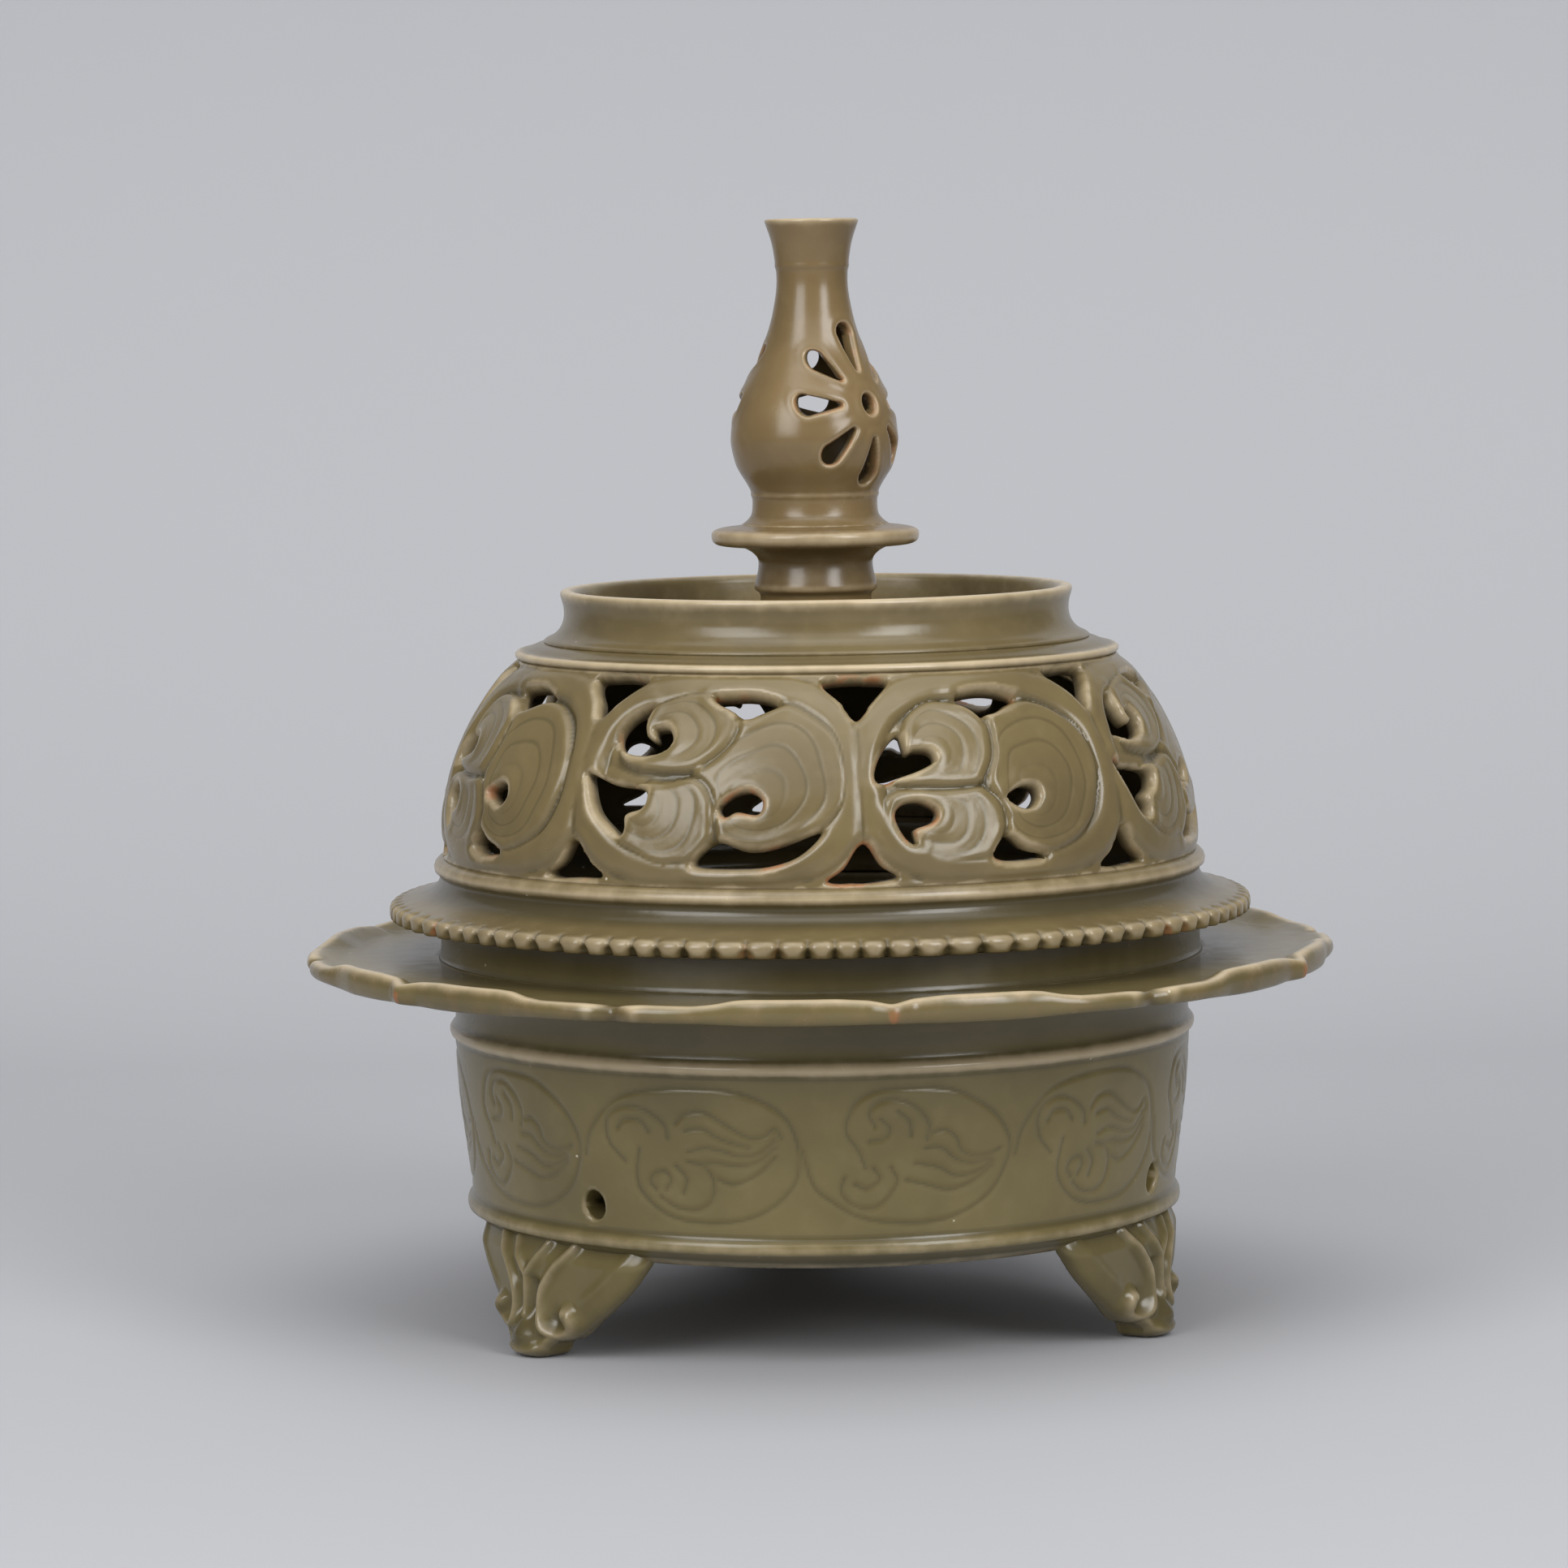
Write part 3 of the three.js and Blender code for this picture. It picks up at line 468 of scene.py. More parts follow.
class Nodes:
    """A short way to write a node tree."""

    def __init__(self, material):
        material.use_nodes = True
        self.tree = material.node_tree
        self.tree.nodes.clear()

    def add(self, kind, inputs=None, **settings):
        node = self.tree.nodes.new(kind)
        for key, value in settings.items():
            setattr(node, key, value)
        for key, value in (inputs or {}).items():
            if isinstance(value, bpy.types.NodeSocket):
                self.tree.links.new(value, node.inputs[key])
            else:
                node.inputs[key].default_value = value
        return node

    def attribute(self, name):
        return self.add("ShaderNodeAttribute", attribute_name=name).outputs["Fac"]

    def math(self, operation, first, second=0.0):
        return self.add("ShaderNodeMath", {0: first, 1: second}, operation=operation).outputs[0]

    def times(self, first, second):
        return self.math("MULTIPLY", first, second)

    def minus(self, first, second):
        return self.math("SUBTRACT", first, second)

    def ramp(self, value, low, high):
        inputs = {"Value": value, "From Min": low, "From Max": high}
        return self.add("ShaderNodeMapRange", inputs, interpolation_type="SMOOTHSTEP").outputs[0]

    def mix(self, factor, first, second):
        return self.add("ShaderNodeMix", {0: factor, 6: first, 7: second}, data_type="RGBA").outputs[2]

    def noise(self, vector, scale):
        inputs = {"Vector": vector, "Scale": scale, "Detail": 3.0}
        return self.add("ShaderNodeTexNoise", inputs).outputs["Fac"]

    def bump(self, height, strength, distance, **normal):
        inputs = {"Height": height, "Strength": strength, "Distance": distance, **normal}
        return self.add("ShaderNodeBump", inputs).outputs["Normal"]


def celadon(name, light, deep, specks):
    """Olive celadon over stoneware: dark where it pools and where shade is painted, cream where it thins and
    where light is painted, rust at the edges.
    """
    material = bpy.data.materials.new(name)
    nodes = Nodes(material)
    where = nodes.add("ShaderNodeTexCoord").outputs["Object"]
    clouds, mottle, fine = (nodes.noise(where, scale) for scale in (CLOUD_SCALE, MOTTLE_SCALE, FINE_SCALE))
    color = nodes.mix(nodes.ramp(clouds, 0.35, 0.68), srgb(*light), srgb(*deep))
    color = nodes.mix(nodes.times(nodes.ramp(mottle, 0.45, 0.75), 0.12), color, WARM)
    # Growth lines, then glaze that pools with painted shade, and thinned glaze with painted light
    phase = nodes.math("ABSOLUTE", nodes.minus(nodes.math("FRACT", nodes.attribute("band")), 0.5))
    line = nodes.times(nodes.minus(1, nodes.ramp(phase, 0.01, 0.15)), nodes.attribute("shown"))
    color = nodes.mix(nodes.times(line, 0.27), color, POOL_AND_SHADE)
    pool_and_shade = nodes.math("MAXIMUM", nodes.attribute("pool_and_shade"), nodes.attribute("pooled_and_shaded"))
    color = nodes.mix(nodes.times(pool_and_shade, 0.78), color, POOL_AND_SHADE)
    thin_and_lit = nodes.math("MAXIMUM", nodes.attribute("thin_and_lit"), nodes.attribute("pale"))
    uneven = nodes.math("ADD", thin_and_lit, nodes.times(nodes.minus(mottle, 0.5), 0.5))
    # Cream reaches up to 0.78, so that lips and ridges also carry a painted highlight
    color = nodes.mix(nodes.times(nodes.ramp(uneven, 0.1, 1.05), 0.78), color, CREAM)
    # Rust, and single pale specks
    burnt = nodes.times(nodes.attribute("rust"), nodes.ramp(mottle, 0.4, 0.58))
    color = nodes.mix(nodes.math("MINIMUM", burnt, 0.6), color, BURNT)
    cells = nodes.add("ShaderNodeTexVoronoi", {"Vector": where, "Scale": SPECK_SCALE})
    chosen = nodes.add("ShaderNodeSeparateColor", {"Color": cells.outputs["Color"]}).outputs[0]
    dot = nodes.minus(1, nodes.ramp(cells.outputs["Distance"], 0.08, 0.16))
    dot = nodes.times(dot, nodes.math("GREATER_THAN", chosen, 1 - specks))
    color = nodes.mix(nodes.times(dot, 0.6), color, SPECK)
    rough = nodes.math("ADD", 0.2, nodes.times(mottle, 0.1))
    rough = nodes.math("ADD", rough, nodes.times(burnt, 0.25))
    skin = nodes.bump(mottle, 0.12, 0.0005, Normal=nodes.bump(fine, 0.05, 0.0002))
    inputs = {"Base Color": color, "Roughness": rough, "IOR": 1.5, "Normal": skin}
    shader = nodes.add("ShaderNodeBsdfPrincipled", inputs)
    nodes.add("ShaderNodeOutputMaterial", {"Surface": shader.outputs[0]})
    return material


# Each slot's body and glaze, made with its light and deep colours and its share of specks
GLAZES = {
    "bowl_glaze": ("bowl", celadon("celadon_bowl", (112, 100, 62), (101, 90, 55), 0.004)),
    "flange_glaze": ("bowl", celadon("celadon_flange", (106, 94, 60), (95, 84, 53), 0.016)),
    "cover_glaze": ("cover", celadon("celadon_cover", (111, 97, 64), (100, 87, 58), 0.006)),
    "finial_glaze": ("cover", celadon("celadon_finial", (119, 99, 66), (106, 88, 58), 0.003)),
}


# Bowl

BOWL_OUTSIDE = [
    (66, STAND_Z), (70.5, STAND_Z + 0.2), (WALL_BOTTOM - 1.9, STAND_Z + 1.8),
    *offsets(WALL_BOTTOM, LOW_RIDGE_Z, (-0.6, -1.9), (RIDGE_OUT * 0.8, -1.3), (RIDGE_OUT * 0.8, 0.6),
             (0, 1.5), (0, 3.4)),
    *offsets(WALL_BOTTOM, 0, (1.2, 39.3), (2.2, 47), (2.8, 55)),
    *offsets(WALL_TOP, HIGH_RIDGE_Z, (0, -2.4), (0.1, -1.5), (RIDGE_OUT, -0.8), (RIDGE_OUT, 0.6),
             (0.1, 1.4), (-0.2, 3.4)),
    *offsets(WALL_TOP, 0, (-0.1, 69.5), (0.7, 72), (2.6, 73.9), (6, 75)),
]


def crossed(z, points):
    """Radius of a line of (radius, z) points at each height."""
    line = evenly(spline(points, 6, closed=False), 0.25, closed=False)
    return np.interp(z, line[:, 1], line[:, 0])


# Incised medallions, as degrees from the middle and millimetres above it: first the frame, then
# the two curls and the leaf's fingers
INCISED_FIRST = [
    [(-16.6, -1), (-15.4, 4), (-12.4, 9), (-8.4, 12.3), (-0.4, 13.9), (7.6, 13.6), (12.6, 11.3), (15.6, 8),
     (17.1, 3), (17.3, -2), (16.4, -6), (13.6, -10), (9.6, -12.7), (3.6, -13.8), (-2.4, -12.7), (-6.4, -9),
     (-7.7, -5), (-6.9, 1)],
    [(0.8, -1.2), (3.3, -2), (4.6, -5.2), (4, -9.2), (1.6, -11.2), (-1.6, -10.7), (-3.9, -8.7)],
    [(-4.6, -7.2), (-5.5, -5.6), (-4.6, -3.9), (-2.8, -3.5), (-2.1, -5.2), (-3, -7.2)],
    [(-1.1, -2.2), (0.4, -4.7), (-0.2, -7.7)],
    [(-9.4, -1.7), (-11.9, 1.8), (-12.4, 5.8), (-11.2, 8.6), (-8.4, 9.8), (-5.4, 9), (-2.7, 6.3),
     (-2.2, 3.6)],
    [(-10.4, 5), (-9.2, 6.9), (-6.7, 7), (-5.2, 4.8)],
    [(-0.9, 6.6), (0.6, 8.6), (3.6, 9.1), (6.6, 6.8), (9.9, 4.3), (12.3, 4.4), (13.9, 6), (14.8, 4.2)],
    [(0.6, 5.2), (3.2, 5.8), (5.3, 4.1), (7.9, 2.8), (10.1, 2.1)],
    [(1, 0.8), (3.6, 1.8), (6.2, 1.2), (8.6, 0.3), (11.6, 0.8), (13.9, 3.6)],
    [(2.2, -1.6), (5.3, -1.3), (8.6, -1.7), (11.4, -0.8), (13.9, 2)],
    [(5.3, -4.6), (7.4, -5.6), (9.5, -4.8), (11.8, -2.9), (13.9, 0.2)],
]
INCISED_SECOND = [
    [(-16.6, 1.5), (-14.9, -5.7), (-11.9, -9.2), (-7.9, -12.2), (-2.9, -13.6), (4.1, -13.8), (9.1, -12.2),
     (13.1, -9.2), (15.4, -5.2), (16.8, 0.8), (14.6, 6.8), (10.1, 11.3), (5.1, 13.6), (-3.9, 13.8),
     (-7.9, 11.8), (-9.6, 7.8), (-9.7, 4.8), (-7.9, 1.3), (-6.9, -2.2)],
    [(-5.4, 6.4), (-6.3, 9), (-4.6, 11.4), (-1.6, 11.6), (1.3, 9.6), (3, 6.4), (2.8, 3.2)],
    [(-4.6, 7.8), (-3.2, 6), (-3.7, 4), (-6.4, 3.2)],
    [(-1.8, 9.2), (0, 7), (0.2, 4.2)],
    [(-10.1, -4.2), (-10.6, -7.2), (-8.9, -9.7), (-5.9, -10.7), (-3.4, -8.7), (-1.9, -5.2), (-2.9, -2.2)],
    [(-8.4, -5.6), (-6.6, -6.6), (-4.6, -4.6), (-5.6, -2.4)],
    [(3.6, 4.6), (5.6, 5), (7.4, 3.4), (8.4, 0.6), (10.6, -0.8), (13.4, -0.6), (15, 0.4)],
    [(2.6, 1.4), (5, 1.4), (7.4, -1), (10.4, -2.2), (13.6, -1.6)],
    [(1.1, -1.6), (4.6, -2.6), (7.6, -4.6), (11, -4.2), (13.8, -2.2)],
    [(-0.4, -5), (3, -6.2), (6.6, -7.4), (10.2, -6.2), (13.6, -3.2)],
]


def incised_depth(turn, z):
    """How deep a point lies in the cut lines on the bowl's wall, from 0 to 1."""
    depth = np.zeros(turn.shape)
    rest = np.linspace(INCISED_CONTACTS[-1], INCISED_CONTACTS[0] + 360, INCISED_MEDALLIONS - 3)
    contacts = np.concatenate([INCISED_CONTACTS[:-1], rest])
    per_degree = math.radians(WALL_BOTTOM + 2)
    low, high = INCISED_HEIGHT
    for number, (start, end) in enumerate(zip(contacts[:-1], contacts[1:])):
        away = wrapped(turn - (start + end) / 2)
        near = (np.abs(away) < (end - start) / 2 + 2) & (z > low - 2) & (z < high + 2)
        widen = (end - start) / 2 / INCISED_HALF_WIDTH
        x, y = away[near] * per_degree, z[near] - (low + high) / 2
        cut = np.zeros(x.shape)
        for line in INCISED_FIRST if number % 2 else INCISED_SECOND:
            path = spline(line, 5, closed=False) * [widen * per_degree, 1]
            cut = np.maximum(cut, bell(path_distance(x, y, path), INCISED_LINE))
        depth[near] = np.maximum(depth[near], cut)
    return depth


def bowl_wall():
    """The wall as two sheets, with the air holes through both."""
    steps, spacing = 940, 0.52
    low, frieze_top, high = STAND_Z, INCISED_HEIGHT[1] + 2, FLANGE_Z - 0.4
    heights = np.concatenate([
        np.arange(low, low + 8, 0.55), np.arange(low + 8, frieze_top, spacing),
        np.arange(frieze_top, high, 0.6),
    ])
    turn, z = np.meshgrid(full_turn(steps), heights)
    per_degree = math.radians(WALL_BOTTOM + 1)
    level = np.full(z.shape, FAR)
    width, tall = AIR_HOLE_SIZE
    for angle in AIR_HOLE_ANGLES:
        size = np.hypot(wrapped(turn - angle) * per_degree / width, (z - AIR_HOLE_Z) / tall) * 2
        level = np.minimum(level, (size - 1) * width / 2)
    step_z = np.gradient(heights)[:, None]
    move_x, move_z, snapped = snap(level, 360 / steps * per_degree, step_z, spacing)
    turn, z = turn + move_x / per_degree, z + move_z
    cut = incised_depth(turn, z)
    radius = crossed(z, BOWL_OUTSIDE) - INCISED_DEPTH * cut - 0.45 * rolled(from_edge(level, snapped), 0.9)
    outer = polar(radius + ripple(polar(radius, turn, z), 60, SEED) * 0.16, turn, z)
    floor = STAND_Z + FLOOR_THICKNESS
    inside = np.interp(z, [STAND_Z, floor, floor + 6, high], [58, 65.5, 70, 74.5])
    inner = polar(np.minimum(inside, radius - 1.5), turn, np.maximum(z, floor))
    return join_sheets(outer, inner, snapped, {"pooled_and_shaded": 0.3 * cut})


MOUTH_INSIDE = MOUTH_OUTSIDE - MOUTH_WALL
MOUTH = [
    *offsets(WALL_TOP, FLANGE_Z, (-BOWL_WALL, -2), (2, -2)),
    *offsets(LEDGE_RADIUS, FLANGE_Z, (-1, -0.2), (-1.5, 0.3)),
    *offsets(MOUTH_OUTSIDE, FLANGE_Z, (0.5, 2.9), (0, 3.8)),
    *offsets(MOUTH_OUTSIDE, RIM_Z, (0, -1.6), (0, 0), (-1.4, 0)),
    *offsets(MOUTH_INSIDE, RIM_Z, (1.4, 0), (0, 0), (0, -1.6)),
    (MOUTH_INSIDE, FLANGE_Z + 2), (WALL_TOP - BOWL_WALL, FLANGE_Z - 1),
]
FLOOR = [
    *offsets(0, STAND_Z, (0, 0), (64, 0), (66.2, 0)),
    *offsets(0, STAND_Z + FLOOR_THICKNESS, (66.2, 0.1), (64, 0.1), (0, 0.1)),
]


# Foliate flange

# Half a petal: degrees from its cusp, radius of the edge, and its top and underside above the flange
HALF_PETAL = [
    (0, 108.3, 4.2, 0.3), (1.1, 107.5, 4.6, 0.2), (2.4, 106.4, 5, 0.1), (6, 106.8, 5.5, 0),
    (12, 107.2, 5.5, 0), (15.2, 106.9, 5.4, 0), (16.8, 107, 5.2, 0.1), (19, 107.9, 4.4, 0.4),
    (21.2, 108.6, 4, 0.6), (24, 109, 4, 0.6), (27, 109, 4, 0.6), (28.2, 108.7, 3.8, 0.6),
    (29, 108, 3.6, 0.5), (30, 107.1, 3.4, 0.5),
]


def foliate(turn):
    """Radius, top and underside of the flange's edge at each angle."""
    half = 180 / PETALS
    away = np.abs((turn - CUSP_ANGLE + half) % (2 * half) - half)
    knots = np.asarray(HALF_PETAL, float)
    kernel = bell(np.arange(-3, 4), 1.5)
    kernel /= kernel.sum()
    lines = []
    for column in (1, 2, 3):
        line = np.interp(away, knots[:, 0], knots[:, column])
        lines.append(np.convolve(np.concatenate([line[-3:], line, line[:3]]), kernel, "valid"))
    return lines


def foliate_flange():
    """A flat plate whose outer strip turns up to a rolled, scalloped edge."""
    turn = full_turn(1080)
    edge, top, low = foliate(turn)
    around = polar(FLANGE_REACH, turn, 0)
    edge = np.minimum(edge + ripple(around, 55, SEED + 1) * 0.15, FLANGE_REACH - 0.05)
    top = FLANGE_Z + top + ripple(around, 70, SEED + 2) * 0.15
    low = FLANGE_Z + low
    plate = FLANGE_Z + FLANGE_THICKNESS
    inner = MOUTH_OUTSIDE - 0.4
    bend = edge - FLANGE_NOSE
    rows = []
    for share in np.linspace(0, 1, 16)[:-1]:
        rows.append((inner + share * (bend - inner), FLANGE_Z + (low - FLANGE_Z) * share**8))
    for angle in np.radians(np.linspace(-90, 90, 15)):
        out = FLANGE_NOSE * math.cos(angle) ** 0.75
        rows.append((bend + out, (low + top) / 2 + (top - low) / 2 * math.sin(angle)))
    for inward in np.arange(0.4, TURN_UP, 0.45):
        rows.append((bend - inward, top + (plate - top) * smoothstep(inward, 0.2, TURN_UP - 0.5)))
    for share in np.linspace(0, 1, 12):
        rows.append(((bend - TURN_UP) * (1 - share) + inner * share, np.full(len(turn), plate)))
    radius, z = (np.array(values) for values in zip(*rows))
    cusp = bell((turn - CUSP_ANGLE + 30) % 60 - 30, 0.45)
    groove = np.abs((turn - CUSP_ANGLE) % 60 - 30)
    dent, beside = bell(groove, 1.05), bell(groove - 2.7, 0.9)
    face = bell(edge - radius, 1.4)
    high = smoothstep(z, (low + top) / 2 - 0.4, top)
    marks = {
        "rust": face * (0.04 + 0.9 * cusp * (1 - high)),
        "pale": 0.88 * bell(radius - bend - 0.3, 1.5) * high * (1 - dent) + 0.4 * face * beside,
        "pooled_and_shaded": 0.8 * dent * bell(edge - radius, 2.6) * (1 - 0.6 * high),
    }
    return wound(radius, turn, z, marks)


# Cover's flange

CRIMPED = [
    (LIP_RADIUS - 2.2, RIM_Z), (84, RIM_Z),
    *offsets(CRIMP_RADIUS, RIM_Z, (-0.5, 0), (0, 0.4), (0, 1.6), (0, 2.8), (-0.9, 3.6)),
    *offsets(0, RIM_Z, (88, 4), (84.4, 4.9), (82, 6.1)),
    *offsets(DOME_FOOT, RIM_Z, (0.6, 7.4), (0.2, 8.8), (0.4, 9.5), (1.3, 9.8), (1.6, 10.9), (1.2, 12)),
    *offsets(DOME_FOOT, DOME_FOOT_Z, (0.2, 0), (-1, 0.1), (-DOME_WALL, 0)),
    (DOME_FOOT - DOME_WALL, RIM_Z + 5.5), (LIP_RADIUS - 2.2, RIM_Z + 3.2),
]


def crimped(radius, z, turn):
    """Hand-pressed crimps, which widen downwards between rounded teeth, and the depth in them from 0 to 1."""
    rng = np.random.default_rng(SEED + 3)
    drift = sum(rng.normal(0, 0.045) * np.sin(np.radians(turn) * k + rng.uniform(0, 6)) for k in range(3, 14))
    place = turn * CRIMPS / 360 + drift
    away = np.abs(place % 1 - 0.5)
    uneven = rng.uniform(0.72, 1.1, CRIMPS)[np.floor(place).astype(int) % CRIMPS]
    low = 1 - smoothstep(z, RIM_Z + 0.4, RIM_Z + 3.2)
    notch = bell(away, 0.06 + 0.135 * low) * uneven * (0.3 + 0.7 * low)
    edge = smoothstep(radius, CRIMP_RADIUS - 3.2, CRIMP_RADIUS - 0.6)
    drawn = CRIMP_DEPTH * notch + 0.5 * (1 - 2 * away) ** 2
    dip = 0.5 * bell(away, 0.15) * smoothstep(z, RIM_Z + 0.8, RIM_Z + 3)
    return radius - drawn * edge, z - dip * edge, notch * edge


def crimped_flange():
    section = evenly(rounded(CRIMPED), 0.45)
    section = section[(section[:, 0] > CRIMP_RADIUS - 4.5) | (np.arange(len(section)) % 2 == 0)]
    turn = full_turn(CRIMPS * 14)
    radius, z, notch = crimped(section[:, :1], section[:, 1:], turn[None, :])
    edge = smoothstep(section[:, :1], CRIMP_RADIUS - 2, CRIMP_RADIUS - 0.4)
    spots = smoothstep(ripple(polar(CRIMP_RADIUS, turn, 0), 30, SEED + 9), 0.45, 1.5)
    marks = {
        "rust": 0.75 * edge * spots * (notch > 0.12) * (notch < 0.7),
        "pale": 0.46 * edge * (1 - smoothstep(notch, 0.03, 0.45)) * smoothstep(z, RIM_Z - 0.4, RIM_Z + 2),
        # Dark in the notches: glaze that pools there, with painted shade in the hollows
        "pooled_and_shaded": 0.9 * smoothstep(notch, 0.3, 0.9),
    }
    return wound(radius, turn, z, marks)


# Openwork dome, in millimetres across and up from a medallion's middle, and for the gaps from
# the line where two medallions meet

FIRST_HOLES = [
    [(-17.5, 14.6), (-21.6, 12.2), (-23.6, 8.5), (-22, 5), (-18, 3.4), (-12, 4.8), (-10.1, 7.5), (-12, 10),
     (-14.9, 9.4), (-14.1, 7), (-16.6, 7.8), (-17.6, 11.5)],
    [(-28.2, -0.4), (-23.1, -2.2), (-16.1, -3.1), (-13.8, -4.6), (-14.9, -7.2), (-18.7, -8.8),
     (-18.5, -11.8), (-20, -12.8), (-25.1, -8.2), (-27.9, -2.5)],
    [(1.6, -6.7), (4.6, -4.2), (8.4, -3.4), (10.7, -5.3), (9.6, -8), (5.5, -7.6), (3.2, -8.6)],
    [(-2.6, 17.5), (3.4, 18), (8.6, 17.6), (12.4, 16.2), (9.2, 14.4), (6.1, 12.8), (3.4, 14)],
    [(-3.1, -18.4), (3, -19.2), (11.6, -18.6), (17.5, -16.5), (21.9, -11.7), (14.3, -14.7), (8, -15.6),
     (1.9, -14)],
]
SECOND_HOLES = [
    [(-21.1, 8.8), (-20, 4.6), (-18.1, 5.1), (-14.9, 4.6), (-14.3, 2.1), (-19.7, 0), (-25.9, -1.7),
     (-26.9, 0.5), (-24.3, 5.7)],
    [(-23.3, -9.2), (-21.8, -6.8), (-18, -6.2), (-14.9, -8), (-15.7, -10.3), (-19.5, -11.7), (-19.5, -14.6),
     (-21.7, -13.2)],
    [(0.5, -5.8), (4, -3.9), (7.2, -4.4), (8.1, -6.4), (6.3, -8.3), (3.5, -8.2)],
    [(-5.4, 17), (-1, 18), (5.6, 17.6), (10.4, 15.9), (6.8, 14.4), (2.9, 12.4), (-0.2, 12.2), (-3, 14)],
    [(-3.2, -18), (-0.3, -14.3), (3.6, -16.8), (8, -18.4), (1.6, -19.2)],
]
GAPS = [
    [(-7.4, 21.4), (-3, 16), (-0.7, 12.4), (0.9, 12.4), (3.6, 15.6), (8.4, 20.8), (6.6, 22), (0, 22.2)],
    [(-6.8, -21.5), (-3.5, -18.8), (0, -14.4), (3.5, -18.8), (6.6, -21.5), (0, -22.1)],
]

# Lobes of the leaf, lowest first: the eye that its growth lines run round, and its outline
FIRST_LOBES = [
    ((8.3, -6), [(6.3, 12.6), (9, 13.7), (15.6, 16), (21.6, 12.8), (25.6, 8.8), (27.3, 3.8), (27.5, -2.2),
     (26.3, -7.2), (22, -11.8), (17.6, -13.6), (10.3, -15.4), (2.5, -14.3), (0, -9), (-3, -3), (-5.5, 3),
     (-1, 8), (3, 12)]),
    ((-16.4, -6), [(-5, -0.6), (-2.8, -1), (-0.9, -3), (0.4, -6), (1.2, -11), (0.8, -14), (-0.6, -16.4),
     (-3, -18.2), (-6, -18.8), (-10.5, -19), (-15, -17.4), (-20.4, -14), (-22, -8), (-17, -2.5),
     (-10, -1.8)]),
    ((-12.4, 7.4), [(-18.4, 11.6), (-16.6, 15), (-13, 17.4), (-7, 18.8), (-3.4, 18.6), (-0.8, 17.4),
     (2.4, 15.2), (3.9, 12.6), (4, 10), (3.4, 8), (1.4, 5), (-1.4, 2.6), (-5.4, 0.6), (-12, 0), (-20, 1.6),
     (-22.4, 6)]),
]
SECOND_LOBES = [
    ((6, -6.2), [(0.2, 11.8), (5.6, 13.6), (10.8, 14.8), (16, 14.2), (20.2, 11.6), (23.6, 7.4), (25.8, 1.6),
     (25, -4.4), (21.6, -11.4), (16.2, -16), (9.6, -18.2), (5.4, -17.2), (-0.4, -14.8), (-2, -9),
     (-3.6, -2), (-1.6, 5)]),
    ((-17, -8.6), [(-25.6, -6), (-24, -4), (-19, -3.2), (-11, -3.2), (-5.4, -3.2), (-2, -6), (-0.6, -10),
     (-1, -13.8), (-2.4, -17.4), (-5.4, -19), (-10.6, -19.4), (-17.4, -18.2), (-23, -15), (-26, -11.4)]),
    ((-15.6, 3.2), [(-20.4, 9.4), (-18.4, 13), (-14.4, 15.4), (-10, 15.8), (-5.4, 14.8), (-2.6, 12.8),
     (-0.4, 9.8), (-0.2, 7.4), (-1.4, 2.8), (-3.4, -0.6), (-5.4, -2.8), (-12, -3.2), (-20, -2.8),
     (-24, 0)]),
]
MOTIFS = [(FIRST_HOLES, FIRST_LOBES), (SECOND_HOLES, SECOND_LOBES)]


def dome_radius(share):
    return DOME_FOOT - (DOME_FOOT - DOME_TOP) * np.power(share, DOME_ROUNDNESS)


def stem_height(x, y):
    """The round stem that frames a medallion, and whether a point lies inside its middle line."""
    power = 2.6
    wide, tall = STEM_MIDDLE
    size = (np.abs(x / wide) ** power + np.abs(y / tall) ** power) ** (1 / power)
    reach = (size - 1) * np.hypot(x, y) / np.maximum(size, 0.05) * 0.97
    across = np.clip(np.abs(reach) / STEM_HALF_WIDTH, 0, 1.4)
    return np.where(reach < 0, -(across**3.6), -0.5 * np.minimum(across, 1.1) ** 3), reach < 0


def lobe_height(x, y, eye, outline):
    """A curled lobe with a soft rim: distance inside it, its height, and the growth lines round its eye.

    The lines are given by a count that rises by one from line to line, and by how clearly they show.
    """
    curve = spline(outline, 7)
    edge = -outline_distance(x, y, curve)
    out_x, out_y = (curve - eye).T
    order = np.argsort(np.arctan2(out_y, out_x))
    around = np.radians(np.arange(-180, 180, 3))
    angles, reach = np.arctan2(out_y, out_x)[order], np.hypot(out_x, out_y)[order]
    evened = np.interp(around, angles, reach, period=2 * math.pi)
    kernel = bell(np.arange(-9, 10), 4.5)
    evened = np.convolve(np.concatenate([evened[-9:], evened, evened[:9]]), kernel / kernel.sum(), "valid")
    bearing = np.arctan2(y - eye[1], x - eye[0])
    limit = np.maximum(np.interp(bearing, around, evened, period=2 * math.pi), 1)
    share = np.hypot(x - eye[0], y - eye[1]) / limit
    count = GROWTH_LINES + 0.6
    bands = share * count + 0.16 * ripple(np.stack([x, y, x * 0], -1), 15, SEED + 10)
    away = (bands % 1 - 0.5) * limit / count
    shown = smoothstep(share, 0.25, 0.42) * (1 - smoothstep(share, 0.86, 0.95))
    shown = shown * smoothstep(limit, 6, 10) * smoothstep(edge, 1.2, 2.6)
    lines = (0.1 * bell(away, 0.55) - 0.05 * bell(away - 1, 0.7)) * shown
    lines = lines * (0.35 + 0.5 * smoothstep(limit, 8, 20))
    dish = 0.36 * np.sin(np.clip(share, 0, 1) * math.pi)
    return edge, 0.12 * bell(edge - 2, 1.3) - dish - lines - 1.6 * rolled(edge, 2.1), bands, shown


